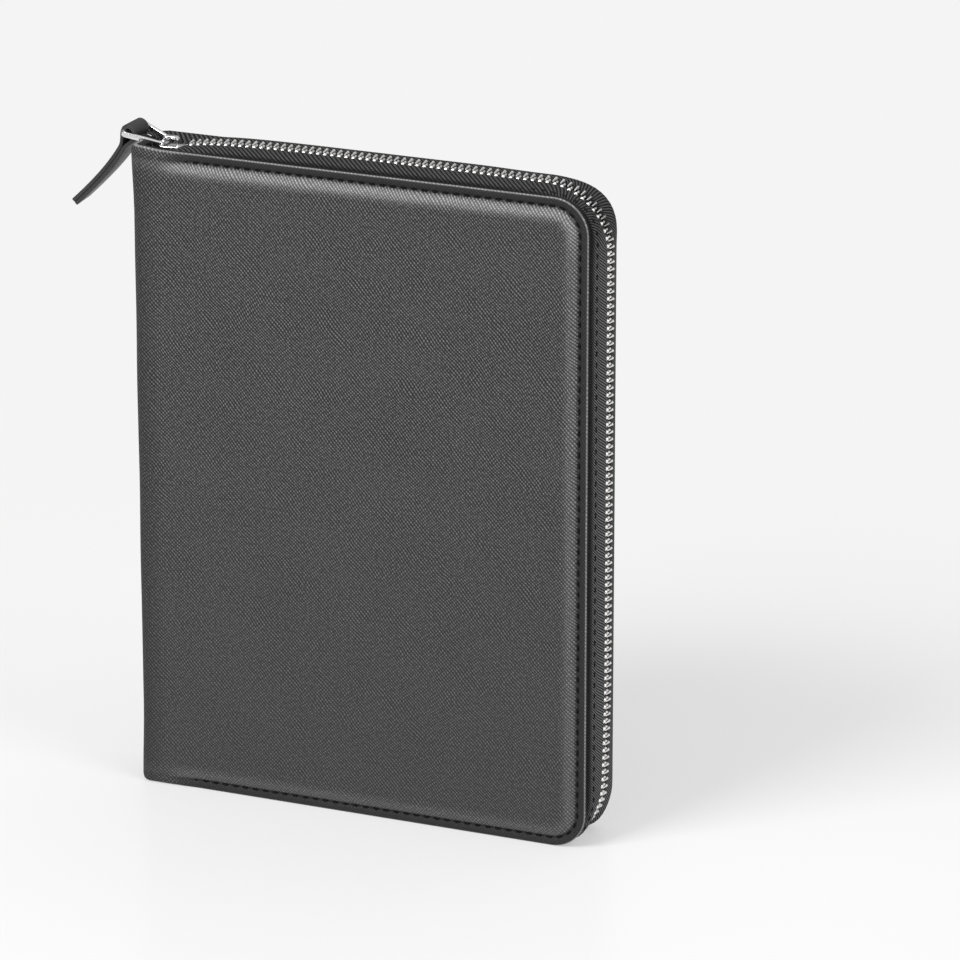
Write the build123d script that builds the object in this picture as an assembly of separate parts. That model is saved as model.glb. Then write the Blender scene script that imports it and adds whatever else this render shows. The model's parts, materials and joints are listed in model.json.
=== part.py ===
from build123d import *
import os
from math import atan2, cos, hypot, pi, radians, sin

# A zip-around padfolio that stands on its lower edge, zipped shut. Millimetres.
# X runs from the spine to the fore edge, Y from the front cover to the back, Z up.
# The origin is the middle of the spine's foot.

# Writing pad, which the case is sized round, and the room about it
PAD_WIDTH = 148.0
PAD_HEIGHT = 210.0
PAD_SHEETS = 5.4
PAD_CARD = 0.8
PAD_FOOT = 16.0             # pad above the case's foot
PAD_HEAD_ROOM = 14.0        # case's head above the pad
PAD_FORE_ROOM = 9.1         # case's fore edge past the pad
PAD_PLAY = 0.2
BINDING = 0.4
BINDING_LIP = 14.0

# Closed case
CLOSED_DEPTH = 27.2
CORNER_RADIUS = 13.0
FOLD_RADIUS = 4.0           # outside of the leather where it turns from the spine to a cover

# Covers, from the outside in
LEATHER = 1.0
BOARD = 2.0
LINING = 0.5
LINING_INSET = 0.6          # from the cover's free edges
EDGE_ROUNDING = 1.2
PANEL_RISE = 0.8            # padded panel above the sewn edge strip
PANEL_SHOULDER = 1.4
SHOULDER_SHARE = 0.9        # of the rise that the shoulder takes
STITCH_INSET = 3.2
STITCH_START = 18.0         # from the spine's outer face
CHANNEL_WIDTH = 0.9
CHANNEL_DEPTH = 0.35

# Spine and its folds
SPINE_BOARD = 1.6
SPINE_LINING = 0.4
HINGE_HOLLOW = 4.5          # radius about a fold line that the boards keep clear of
FOLD_LIFT = 0.5             # folds stop short of the foot and the head

# Zip teeth, as seen along the chain: clear gap is half a pitch less the tooth's length
TOOTH_PITCH = 2.7
TOOTH_LENGTH = 1.15
TOOTH_REACH = 0.9           # head past the chain's centre line
TOOTH_LEG = 3.0             # end of the jaws from the centre line
TOOTH_HEIGHT = 2.0
CRIMP_PLAY = 0.05           # between a tooth's jaws and the tape
FIRST_TOOTH = 1.2           # from the closed slider's narrow end

# Zip tape, as seen along the chain
TAPE = 0.6
TAPE_EDGE = 1.15            # thin inner edge from the centre line, in the teeth's jaws
TAPE_FLAT = 7.6             # flat as far as this, so that the slider runs on it
TAPE_DROP = 2.4             # slope from the flat down to the cover
TAPE_FLANGE = 4.6           # sewn to the cover's lining

# Route of the chain, measured from the cover's edges to the middle of the tape
CHAIN_RISE_SPINE = -2.9
CHAIN_RISE_TOP = 1.6
CHAIN_RISE_FORE = 1.9
CHAIN_RISE_FOOT = -1.7
CHAIN_CORNER = 21.0
TAPE_TOP_START = 0.4        # from the hinge edge of the covers
TAPE_FOOT_END = 8.0

# Zip ends
STOP_LENGTH = 0.9
STOP_TIP = 0.5
FOOT_STOP_LENGTH = 3.2
FOOT_STOP_WIDTH = 5.2
FOOT_STOP_WALL = 0.8
END_TAB_WIDTH = 4.0
END_GAP = 0.5

# Slider
SLIDER_LENGTH = 9.6
SLIDER_MOUTH = 9.4          # width at the end that the open chain enters
SLIDER_THROAT = 7.9
SLIDER_PLATE = 0.8
SLIDER_PLAY = 0.2           # to the teeth
SLIDER_LIP = 0.7
SLIDER_SLOT = 1.1           # between the lips, for the tape
SLIDER_CORNER = 1.6
SLIDER_TAPER = 6.0          # length over which it narrows to the throat
SLIDER_GAP = 0.3            # to the top stops
WEDGE_WIDTH = 1.5
WEDGE_LENGTH = 3.4
BRIDGE_WIDTH = 2.4
BRIDGE_LENGTH = 6.4
BRIDGE_BAR = 0.9
BRIDGE_ROUNDING = 1.4
BRIDGE_SETBACK = 0.1        # from the slider's mouth

# Pull
RING_WIRE = 1.5
RING_LENGTH = 13.4          # between the middles of its end bars
RING_WIDTH = 10.4           # between the middles of its side bars, at the strap
RING_NECK = 5.6             # the same at the slider
RING_CORNER = 1.1           # cut off each corner
RING_TILT = 16.0            # degrees up from level, towards the spine
RING_PLAY = 0.2             # under the bridge and above the slider
STRAP_WIDTH = 7.0
STRAP_PLY = 1.5
STRAP_PARTING = 0.3
STRAP_PLAY = 0.1            # round the ring's bar
STRAP_OUT = 18.5
STRAP_DOWN = 27.0
STRAP_BOW = 2.4

# Pocket that the pad's card slides into
POCKET_LEATHER = 0.8
POCKET_RIM = 0.8
POCKET_HEIGHT = 92.0
POCKET_CORNER = 3.0

# Pen loop beside the pad
PEN_BORE = 8.6
PEN_LOOP_WALL = 0.6
PEN_LOOP_HEIGHT = 25.0
PEN_LOOP_DROP = 75.0        # from the case's head
PEN_LOOP_TAB = 9.6
PEN_LOOP_GAP = 0.3          # to the covers' hinge edge and to the pad pocket

# Document pocket and card slots on the front cover
DOCUMENT_DIP = 8.0          # thumb dip in the upper edge
DOCUMENT_RIM = 3.0
DOCUMENT_ROOM = 1.4
DOCUMENT_MARGIN = 5.0       # from the hinge edge
CARD_WIDTH = 94.0
CARD_STEP = 14.0
CARD_HEIGHT = 46.0
CARD_COUNT = 3
CARD_LEATHER = 0.7
CARD_HEAD_ROOM = 10.0       # case's head above the last slot
CARD_GAP = 8.3              # to the document pocket below
FLANGE_GAP = 1.0            # pockets to the tape's flange

# Overall height
COVER_HEIGHT = PAD_FOOT + PAD_HEIGHT + PAD_HEAD_ROOM

# Levels through the case, from the middle plane outwards
HALF_DEPTH = CLOSED_DEPTH / 2
STRIP_FACE = HALF_DEPTH - PANEL_RISE
BOARD_FACE = STRIP_FACE - LEATHER
LINING_FACE = BOARD_FACE - BOARD
INNER_FACE = LINING_FACE - LINING
SPINE_HALF = HALF_DEPTH - FOLD_RADIUS

# Stations across the case
SPINE_WALL = LEATHER + SPINE_BOARD + SPINE_LINING
SPINE_OUT = -SPINE_WALL / 2
SPINE_IN = SPINE_WALL / 2
HINGE_EDGE = SPINE_OUT + FOLD_RADIUS
PEN_OUTER = PEN_BORE + 2 * PEN_LOOP_WALL
PEN_X = HINGE_EDGE + PEN_LOOP_GAP + PEN_OUTER / 2
POCKET_LEFT = PEN_X + PEN_OUTER / 2 + PEN_LOOP_GAP
PAD_LEFT = POCKET_LEFT + POCKET_RIM + PAD_PLAY
PAD_RIGHT = PAD_LEFT + PAD_WIDTH
POCKET_RIGHT = PAD_RIGHT + PAD_PLAY + POCKET_RIM
FORE_EDGE = PAD_RIGHT + PAD_FORE_ROOM
STITCH_X = SPINE_OUT + STITCH_START

# A fold's leather lies flat when the case is open, so it turns about a line just outside its bend
FOLD_LINE = FOLD_RADIUS * (1 - pi / 4)
FOLD_LINE_X = SPINE_OUT + FOLD_LINE
FOLD_LINE_Y = HALF_DEPTH - FOLD_LINE


def plate(outline, y_low, y_high):
    """Extrude an outline drawn in X and Z between two depths."""
    plane = Plane(origin=(0, y_high, 0), x_dir=(1, 0, 0), z_dir=(0, -1, 0))
    return extrude(plane * outline, y_high - y_low)


def block(x_low, x_high, y_low, y_high, z_low, z_high):
    """A box between two corners."""
    size = Box(x_high - x_low, y_high - y_low, z_high - z_low, align=(Align.MIN, Align.MIN, Align.MIN))
    return Pos(x_low, y_low, z_low) * size


def tabbed_outline(left, right, low, high, radius):
    """An upright outline, square at the spine and rounded at the fore edge."""
    free_edges = FilletPolyline((left, low), (right, low), (right, high), (left, high), radius=radius)
    return make_face(free_edges + Line((left, high), (left, low)))


def cover_outline(inset):
    """A cover's outline, drawn in along its three free edges."""
    return tabbed_outline(
        HINGE_EDGE, FORE_EDGE - inset, inset, COVER_HEIGHT - inset, CORNER_RADIUS - inset
    )


def panel_outline(inset):
    """The padded panel: inside the stitching, and nearly full height beside the spine."""
    sewn = STITCH_INSET + CHANNEL_WIDTH / 2 + inset
    inside = tabbed_outline(
        HINGE_EDGE, FORE_EDGE - sewn, sewn, COVER_HEIGHT - sewn, CORNER_RADIUS - sewn
    )
    edge = EDGE_ROUNDING + inset
    beside_spine = Rectangle(
        STITCH_X - inset - HINGE_EDGE, COVER_HEIGHT - 2 * edge, align=(Align.MIN, Align.MIN)
    )
    return inside + Pos(HINGE_EDGE, edge) * beside_spine


def fold_hollow():
    """The room that boards and padding leave round the front fold line."""
    return Pos(FOLD_LINE_X, -FOLD_LINE_Y, COVER_HEIGHT / 2) * Cylinder(HINGE_HOLLOW, COVER_HEIGHT)


def cover_leather():
    """The front cover's leather: face, turned edge, stitch channel and padded panel."""
    skin = plate(cover_outline(0), -STRIP_FACE, -LINING_FACE)
    free_edges = [e for e in skin.faces().sort_by(Axis.Y)[0].edges() if e.center().X > HINGE_EDGE + 1e-3]
    skin = fillet(free_edges, EDGE_ROUNDING)
    panel = plate(panel_outline(0), -HALF_DEPTH, -STRIP_FACE)
    shoulder = [e for e in panel.faces().sort_by(Axis.Y)[0].edges() if e.center().X > HINGE_EDGE + 1e-3]
    panel = chamfer(shoulder, PANEL_RISE * SHOULDER_SHARE, PANEL_SHOULDER)
    channel_band = cover_outline(STITCH_INSET - CHANNEL_WIDTH / 2) - cover_outline(
        STITCH_INSET + CHANNEL_WIDTH / 2
    )
    beyond_start = block(STITCH_X, FORE_EDGE, -HALF_DEPTH, 0, 0, COVER_HEIGHT)
    channel = plate(channel_band, -STRIP_FACE, -STRIP_FACE + CHANNEL_DEPTH) & beyond_start
    return skin + panel - channel - padding_room() - plate(cover_outline(LEATHER), -BOARD_FACE, -LINING_FACE)


def padding_room():
    """The hollow under the padded panel."""
    return plate(panel_outline(PANEL_SHOULDER), -HALF_DEPTH + LEATHER, -BOARD_FACE)


def cover_layers():
    """The front cover's flat layers by name."""
    return {
        "leather": cover_leather(),
        "padding": padding_room() - fold_hollow(),
        "board": plate(cover_outline(LEATHER), -BOARD_FACE, -LINING_FACE) - fold_hollow(),
        "lining": plate(cover_outline(LINING_INSET), -LINING_FACE, -INNER_FACE),
    }


def spine_leather():
    """The spine's leather, turned in over the board's ends."""
    turn_in = SPINE_OUT + LEATHER + SPINE_BOARD
    face = block(SPINE_OUT, SPINE_OUT + LEATHER, -SPINE_HALF, SPINE_HALF, 0, COVER_HEIGHT)
    foot = block(SPINE_OUT, turn_in, -SPINE_HALF, SPINE_HALF, 0, LEATHER)
    head = block(SPINE_OUT, turn_in, -SPINE_HALF, SPINE_HALF, COVER_HEIGHT - LEATHER, COVER_HEIGHT)
    return face + foot + head


def spine_board():
    """The spine's stiffener, hollowed along both fold lines."""
    low_x = SPINE_OUT + LEATHER
    board = block(
        low_x, low_x + SPINE_BOARD, -SPINE_HALF, SPINE_HALF, LEATHER, COVER_HEIGHT - LEATHER
    )
    return board - fold_hollow() - mirror(fold_hollow(), about=Plane.XZ)


def spine_lining():
    """The cloth on the inside of the spine."""
    return block(
        SPINE_IN - SPINE_LINING, SPINE_IN, -SPINE_HALF, SPINE_HALF, LINING_INSET, COVER_HEIGHT - LINING_INSET
    )


def front_fold():
    """The quarter round of leather between the spine and the front cover."""
    centre = (HINGE_EDGE, -SPINE_HALF)
    tube = Circle(FOLD_RADIUS) - Circle(FOLD_RADIUS - LEATHER)
    quarter = tube & Rectangle(FOLD_RADIUS, FOLD_RADIUS, align=(Align.MAX, Align.MAX))
    height = COVER_HEIGHT - 2 * FOLD_LIFT
    return extrude(Pos(*centre, FOLD_LIFT) * quarter, height)


def chain_route():
    """The middle of the zip: along the top, down the fore edge and back along the foot."""
    fore = FORE_EDGE + CHAIN_RISE_FORE
    foot = -CHAIN_RISE_FOOT
    corners = [
        (HINGE_EDGE + TAPE_TOP_START, 0, COVER_HEIGHT + CHAIN_RISE_SPINE),
        (fore, 0, COVER_HEIGHT + CHAIN_RISE_TOP),
        (fore, 0, foot),
        (HINGE_EDGE + TAPE_FOOT_END, 0, foot),
    ]
    return FilletPolyline(*corners, radius=CHAIN_CORNER)


ROUTE = chain_route()
TOP_RUN = ROUTE.edges().sort_by(Axis.Z)[-1].length


def chain_plane(distance):
    """Plane of the tape at a distance along the route: X along the chain, Z outwards."""
    share = distance / ROUTE.length
    along = ROUTE % share
    return Plane(origin=ROUTE @ share, x_dir=along, z_dir=along.cross(Vector(0, 1, 0)))


def ribbon(points, thickness):
    """A strip of even thickness along a bent line."""
    left_side = []
    right_side = []
    for i, (x, y) in enumerate(points):
        before = points[max(i - 1, 0)]
        after = points[min(i + 1, len(points) - 1)]
        first = atan2(y - before[1], x - before[0])
        second = atan2(after[1] - y, after[0] - x)
        first = second if i == 0 else first
        second = first if i == len(points) - 1 else second
        middle = (first + second) / 2
        reach = thickness / 2 / cos((second - first) / 2)
        left_side.append((x - reach * sin(middle), y + reach * cos(middle)))
        right_side.append((x + reach * sin(middle), y - reach * cos(middle)))
    return make_face(Polyline(*left_side, *reversed(right_side), close=True))


def back_tape():
    """The back half of the zip tape, from the teeth to its flange on the back lining."""
    flange_y = INNER_FACE - TAPE / 2
    section = ribbon(
        [
            (TOOTH_LEG, 0),
            (TAPE_FLAT, 0),
            (flange_y, -TAPE_DROP),
            (flange_y, -TAPE_DROP - TAPE_FLANGE),
        ],
        TAPE,
    )
    thin_edge = Polyline((TAPE_EDGE, 0), (TOOTH_LEG, TAPE / 2), (TOOTH_LEG, -TAPE / 2), close=True)
    section += make_face(thin_edge)
    start = Plane(origin=ROUTE @ 0, x_dir=(0, 1, 0), z_dir=ROUTE % 0)
    return sweep(start * section, path=ROUTE)


def crimped(length, tip):
    """A metal piece whose jaws close on the back tape's edge, its tip reaching to a given depth."""
    half = TOOTH_HEIGHT / 2
    throat = TAPE_EDGE - CRIMP_PLAY * (TOOTH_LEG - TAPE_EDGE) / (TAPE / 2)
    jaw = TAPE / 2 + CRIMP_PLAY
    outline = Polyline((tip, -half), (TOOTH_LEG, -jaw), (throat, 0), (TOOTH_LEG, jaw), (tip, half), close=True)
    return extrude(Plane.YZ * make_face(outline), length / 2, both=True)


def back_teeth(first, last, offset):
    """Teeth on the back tape between two distances along the route."""
    tooth = crimped(TOOTH_LENGTH, -TOOTH_REACH)
    chain_start = TAPE_LEAD + SLIDER_LENGTH + FIRST_TOOTH
    placed = []
    distance = chain_start + offset
    while distance < last - TOOTH_PITCH / 2:
        if distance >= first:
            placed.append(chain_plane(distance).location * tooth)
        distance += TOOTH_PITCH
    return Compound(placed)


def zip_stop():
    """The stop on the back tape that the closed slider meets."""
    return chain_plane(STOP_LENGTH / 2).location * crimped(STOP_LENGTH, STOP_TIP)


def end_tab():
    """The joined end of the tapes at the foot, sewn to the spine."""
    foot = -CHAIN_RISE_FOOT
    return block(
        SPINE_IN,
        HINGE_EDGE + TAPE_FOOT_END - END_GAP,
        -END_TAB_WIDTH / 2,
        END_TAB_WIDTH / 2,
        foot - TAPE / 2,
        foot + TAPE / 2,
    )


def foot_stop():
    """The metal clip that ends the chain on the end tab."""
    foot = -CHAIN_RISE_FOOT
    half = FOOT_STOP_WIDTH / 2
    outer_end = HINGE_EDGE + TAPE_FOOT_END - END_GAP
    clip = block(
        outer_end - FOOT_STOP_LENGTH,
        outer_end,
        -half,
        half,
        foot - TAPE / 2 - FOOT_STOP_WALL,
        foot + TAPE / 2 + FOOT_STOP_WALL,
    )
    return clip - end_tab()


TAPE_LEAD = STOP_LENGTH + SLIDER_GAP
SLIDER_PLANE = chain_plane(TAPE_LEAD + SLIDER_LENGTH / 2)
PLATE_IN = TOOTH_HEIGHT / 2 + SLIDER_PLAY
PLATE_OUT = PLATE_IN + SLIDER_PLATE
PIVOT_ALONG = -SLIDER_LENGTH / 2 + BRIDGE_SETBACK + BRIDGE_BAR + RING_PLAY + RING_WIRE / 2
PIVOT_UP = PLATE_OUT + RING_PLAY + RING_WIRE / 2


def slider_outline(inset):
    """The slider's plate: wide at the mouth, narrow at the throat."""
    half = SLIDER_LENGTH / 2
    mouth = SLIDER_MOUTH / 2 - inset
    throat = SLIDER_THROAT / 2 - inset
    shoulder = half - SLIDER_TAPER
    outline = Polyline(
        (-half, -mouth),
        (shoulder, -mouth),
        (half, -throat),
        (half, throat),
        (shoulder, mouth),
        (-half, mouth),
        close=True,
    )
    return make_face(outline)


def slider_body():
    """Two plates with lips that close on the tape, joined by the wedge at the mouth."""
    plate_face = slider_outline(0)
    plate_face = fillet(plate_face.vertices(), SLIDER_CORNER)
    shell = extrude(plate_face, PLATE_OUT, both=True)
    room = extrude(slider_outline(SLIDER_LIP), PLATE_IN, both=True)
    slot = Box(2 * SLIDER_LENGTH, 2 * SLIDER_MOUTH, SLIDER_SLOT)
    through = Box(2 * SLIDER_LENGTH, SLIDER_THROAT - 2 * SLIDER_LIP, 2 * PLATE_IN)
    wedge_end = -SLIDER_LENGTH / 2
    wedge = make_face(
        Polyline(
            (wedge_end, 0),
            (wedge_end + WEDGE_LENGTH / 2, WEDGE_WIDTH / 2),
            (wedge_end + WEDGE_LENGTH, 0),
            (wedge_end + WEDGE_LENGTH / 2, -WEDGE_WIDTH / 2),
            close=True,
        )
    )
    wedge = Pos(SLIDER_CORNER / 2, 0) * wedge
    return SLIDER_PLANE.location * (shell - room - slot - through + extrude(wedge, PLATE_IN, both=True))


def slider_bridge():
    """The arch on the slider that holds the ring."""
    window = RING_WIRE + 2 * RING_PLAY
    left = PIVOT_ALONG - RING_WIRE / 2 - RING_PLAY - BRIDGE_BAR
    right = left + BRIDGE_LENGTH
    arch = Pos((left + right) / 2, PLATE_OUT) * Rectangle(
        BRIDGE_LENGTH, window + BRIDGE_BAR, align=(Align.CENTER, Align.MIN)
    )
    arch = fillet(arch.vertices().group_by(Axis.Y)[-1], BRIDGE_ROUNDING)
    opening = Pos((left + right) / 2, PLATE_OUT) * Rectangle(
        BRIDGE_LENGTH - 2 * BRIDGE_BAR, window, align=(Align.CENTER, Align.MIN)
    )
    section = Plane.XZ * (arch - opening)
    return SLIDER_PLANE.location * extrude(section, BRIDGE_WIDTH / 2, both=True)


RING_PIVOT = SLIDER_PLANE.from_local_coords(Vector(PIVOT_ALONG, 0, PIVOT_UP))
RING_TURN = radians(180 - RING_TILT)
STRAP_PIVOT = RING_PIVOT + Vector(cos(RING_TURN), 0, sin(RING_TURN)) * RING_LENGTH


def pull_ring():
    """The wire loop through the bridge, lying towards the spine."""
    middle = (RING_PIVOT + STRAP_PIVOT) / 2
    lying = Plane(origin=middle, x_dir=STRAP_PIVOT - RING_PIVOT, z_dir=(sin(RING_TURN), 0, -cos(RING_TURN)))
    half = RING_LENGTH / 2
    outline = Polyline(
        (-half, -RING_NECK / 2), (half, -RING_WIDTH / 2), (half, RING_WIDTH / 2), (-half, RING_NECK / 2), close=True
    )
    loop = (lying * chamfer(make_face(outline).vertices(), RING_CORNER)).wire()
    wire_end = Plane(origin=loop @ 0, z_dir=loop % 0)
    return sweep(wire_end * Circle(RING_WIRE / 2), path=loop, transition=Transition.RIGHT)


def pull_strap():
    """A leather strip folded round the ring's far bar, its two plies bowed outwards."""
    chord = hypot(STRAP_OUT, STRAP_DOWN)
    bow_radius = (chord**2 / 4 + STRAP_BOW**2) / (2 * STRAP_BOW)
    chord_turn = atan2(-STRAP_DOWN, -STRAP_OUT)
    side = Vector(-sin(chord_turn), cos(chord_turn))
    middle = Vector(-STRAP_OUT / 2, -STRAP_DOWN / 2)
    bow_centre = middle - side * (bow_radius - STRAP_BOW)
    tip = Vector(-STRAP_OUT, -STRAP_DOWN)

    def at_radius(point, radius):
        return bow_centre + (point - bow_centre).normalized() * radius

    def ply(near, far):
        crown = middle + side * STRAP_BOW
        inner = ThreePointArc(*[at_radius(p, near) for p in (Vector(0, 0), crown, tip)])
        outer = ThreePointArc(*[at_radius(p, far) for p in (Vector(0, 0), crown, tip)])
        return make_face([inner, outer, Line(inner @ 0, outer @ 0), Line(inner @ 1, outer @ 1)])

    half_gap = STRAP_PARTING / 2
    bore = RING_WIRE / 2 + STRAP_PLAY
    section = ply(bow_radius + half_gap, bow_radius + half_gap + STRAP_PLY)
    section += ply(bow_radius - half_gap - STRAP_PLY, bow_radius - half_gap)
    section += Circle(bore + STRAP_PLY)
    section -= Circle(bore)
    plane = Plane(origin=STRAP_PIVOT, x_dir=(1, 0, 0), z_dir=(0, -1, 0))
    return extrude(plane * section, STRAP_WIDTH / 2, both=True)


POCKET_FACE = INNER_FACE - PAD_CARD - 2 * PAD_PLAY
SHEETS_BACK = POCKET_FACE - POCKET_LEATHER - PAD_PLAY
SHEETS_FRONT = SHEETS_BACK - PAD_SHEETS


def pad_pocket():
    """The leather pocket that the pad's backing card slides into."""
    low = PAD_FOOT - PAD_PLAY - POCKET_RIM
    high = low + POCKET_HEIGHT
    corners = [(POCKET_LEFT, high), (POCKET_LEFT, low), (POCKET_RIGHT, low), (POCKET_RIGHT, high)]
    sewn_edges = FilletPolyline(*corners, radius=POCKET_CORNER)
    outline = make_face(sewn_edges + Line(corners[-1], corners[0]))
    whole = plate(outline, POCKET_FACE - POCKET_LEATHER, INNER_FACE)
    room = block(
        POCKET_LEFT + POCKET_RIM, POCKET_RIGHT - POCKET_RIM, POCKET_FACE, INNER_FACE, low + POCKET_RIM, high
    )
    return whole - room


def pad_card():
    """The writing pad's stiff back, standing in the pocket."""
    card_back = INNER_FACE - PAD_PLAY
    return block(PAD_LEFT, PAD_RIGHT, card_back - PAD_CARD, card_back, PAD_FOOT, PAD_FOOT + PAD_HEIGHT)


def pad_sheets():
    """The writing pad's block of paper, in front of the pocket."""
    return block(PAD_LEFT, PAD_RIGHT, SHEETS_FRONT, SHEETS_BACK, PAD_FOOT, PAD_FOOT + PAD_HEIGHT)


def pad_binding():
    """The strip glued over the head of the sheets and the card."""
    head = PAD_FOOT + PAD_HEIGHT
    card_back = INNER_FACE - PAD_PLAY
    cap = block(PAD_LEFT, PAD_RIGHT, SHEETS_FRONT - BINDING, card_back, head, head + BINDING)
    lip = block(PAD_LEFT, PAD_RIGHT, SHEETS_FRONT - BINDING, SHEETS_FRONT, head - BINDING_LIP, head)
    return cap + lip


def pen_loop():
    """An elastic loop on a sewn tab, between the spine and the pad."""
    centre = Pos(PEN_X, PEN_OUTER / 2 - INNER_FACE)
    tab = Pos(PEN_X, -INNER_FACE) * Rectangle(
        PEN_LOOP_TAB, PEN_LOOP_WALL, align=(Align.CENTER, Align.MIN)
    )
    section = centre * Circle(PEN_OUTER / 2) + tab - centre * Circle(PEN_BORE / 2)
    foot = COVER_HEIGHT - PEN_LOOP_DROP - PEN_LOOP_HEIGHT
    loop = extrude(Pos(0, 0, foot) * section, PEN_LOOP_HEIGHT)
    return mirror(loop, about=Plane.XZ)


FLANGE_DEPTH = TAPE_DROP + TAPE_FLANGE + FLANGE_GAP
FLANGE_FORE = FORE_EDGE + CHAIN_RISE_FORE - FLANGE_DEPTH
FLANGE_FOOT = FLANGE_DEPTH - CHAIN_RISE_FOOT
FLANGE_CORNER = CHAIN_CORNER - FLANGE_DEPTH
CARD_FOOT = COVER_HEIGHT - CARD_HEAD_ROOM - CARD_HEIGHT - (CARD_COUNT - 1) * CARD_STEP
DOCUMENT_LEFT = HINGE_EDGE + DOCUMENT_MARGIN


def document_outline(inset):
    """The document pocket's outline, drawn in along its three sewn edges."""
    left = DOCUMENT_LEFT + inset
    right = FLANGE_FORE - inset
    low = FLANGE_FOOT + inset
    high = CARD_FOOT - CARD_GAP
    corner = FLANGE_CORNER - inset
    sewn_edges = FilletPolyline((left, high), (left, low), (right, low), (right, high), radius=corner)
    dip = ThreePointArc((right, high), ((left + right) / 2, high - DOCUMENT_DIP), (left, high))
    return make_face(sewn_edges + dip)


def document_pocket():
    """A flat pocket over the lower part of the front cover, with a dipped upper edge."""
    floor = -INNER_FACE + DOCUMENT_ROOM
    whole = plate(document_outline(0), -INNER_FACE, floor + POCKET_LEATHER)
    return whole - plate(document_outline(DOCUMENT_RIM), -INNER_FACE, floor)


def card_slots():
    """Stepped leather strips above the document pocket, one behind the next."""
    left = (DOCUMENT_LEFT + FLANGE_FORE - CARD_WIDTH) / 2
    strips = []
    for i in range(CARD_COUNT):
        high = CARD_FOOT + CARD_HEIGHT + (CARD_COUNT - 1 - i) * CARD_STEP
        near = -INNER_FACE + i * CARD_LEATHER
        strips.append(block(left, left + CARD_WIDTH, near, near + CARD_LEATHER, CARD_FOOT, high))
    return Compound(strips)


def to_back(piece):
    """The back cover's copy of a front piece, or the front's of a back one."""
    return mirror(piece, about=Plane.XZ)


def build():
    """Every piece by name."""
    front = cover_layers()
    pieces = {f"front_cover_{name}": layer for name, layer in front.items()}
    pieces |= {f"back_cover_{name}": to_back(layer) for name, layer in front.items()}
    half_pitch = TOOTH_PITCH / 2
    pieces |= {
        "spine_leather": spine_leather(),
        "spine_board": spine_board(),
        "spine_lining": spine_lining(),
        "front_fold": front_fold(),
        "back_fold": to_back(front_fold()),
        "front_zip_tape": to_back(back_tape()),
        "back_zip_tape": back_tape(),
        "front_teeth_top": to_back(back_teeth(0, TOP_RUN, half_pitch)),
        "back_teeth_top": back_teeth(0, TOP_RUN, 0),
        "front_teeth_round": to_back(back_teeth(TOP_RUN - half_pitch, ROUTE.length, half_pitch)),
        "back_teeth_round": back_teeth(TOP_RUN - half_pitch, ROUTE.length, 0),
        "front_zip_stop": to_back(zip_stop()),
        "back_zip_stop": zip_stop(),
        "zip_end_tab": end_tab(),
        "zip_foot_stop": foot_stop(),
        "slider_body": slider_body(),
        "slider_bridge": slider_bridge(),
        "pull_ring": pull_ring(),
        "pull_strap": pull_strap(),
        "pad_pocket": pad_pocket(),
        "pad_card": pad_card(),
        "pad_sheets": pad_sheets(),
        "pad_binding": pad_binding(),
        "pen_loop": pen_loop(),
        "document_pocket": document_pocket(),
        "card_slots": card_slots(),
    }
    return pieces


os.makedirs("parts", exist_ok=True)
for node, shape in build().items():
    export_step(shape, f"parts/{node}.step")
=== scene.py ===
"""Finishes a zip-around padfolio of black cross-grain leather: covers, zip, pull, pad and pockets."""

import json
from math import atan2, cos, dist, exp, hypot, pi, radians, sin, sqrt, tan

import bmesh
import bpy
from bpy.props import FloatProperty, FloatVectorProperty, PointerProperty
from bpy.types import Operator, Panel, PropertyGroup
from mathutils import Matrix, Vector, noise
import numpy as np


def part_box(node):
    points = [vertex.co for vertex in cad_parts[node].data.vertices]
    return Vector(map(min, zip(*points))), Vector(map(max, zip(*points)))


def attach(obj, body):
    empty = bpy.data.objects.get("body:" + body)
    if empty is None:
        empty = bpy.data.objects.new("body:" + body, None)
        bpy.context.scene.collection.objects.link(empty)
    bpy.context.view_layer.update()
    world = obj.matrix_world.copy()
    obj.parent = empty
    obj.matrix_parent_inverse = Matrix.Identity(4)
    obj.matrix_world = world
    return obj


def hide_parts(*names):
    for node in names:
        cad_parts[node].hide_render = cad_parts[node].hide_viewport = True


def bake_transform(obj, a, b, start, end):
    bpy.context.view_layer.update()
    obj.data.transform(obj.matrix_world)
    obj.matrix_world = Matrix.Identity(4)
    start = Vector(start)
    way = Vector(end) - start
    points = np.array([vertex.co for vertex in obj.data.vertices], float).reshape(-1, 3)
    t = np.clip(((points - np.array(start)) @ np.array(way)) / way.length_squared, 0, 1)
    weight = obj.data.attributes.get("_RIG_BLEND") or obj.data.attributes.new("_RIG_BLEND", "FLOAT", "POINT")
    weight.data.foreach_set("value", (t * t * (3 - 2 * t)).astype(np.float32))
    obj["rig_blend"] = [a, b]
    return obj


bl_info = {
    "name": "Padfolio finish",
    "version": (1, 0, 0),
    "blender": (4, 5, 0),
    "location": "View3D > Sidebar > Padfolio",
    "description": "Builds the finished surfaces of a zip-around leather padfolio on its packed solids",
    "category": "Object",
}

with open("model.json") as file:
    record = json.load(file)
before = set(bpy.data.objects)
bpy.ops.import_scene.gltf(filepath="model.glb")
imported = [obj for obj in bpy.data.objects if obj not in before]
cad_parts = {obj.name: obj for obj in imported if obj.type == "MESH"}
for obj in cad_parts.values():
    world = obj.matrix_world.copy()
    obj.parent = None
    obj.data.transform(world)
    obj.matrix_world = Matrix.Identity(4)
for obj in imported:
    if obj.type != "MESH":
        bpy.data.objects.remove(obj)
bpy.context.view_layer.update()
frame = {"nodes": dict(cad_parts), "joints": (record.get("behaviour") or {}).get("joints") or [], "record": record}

MM = 0.001

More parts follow.
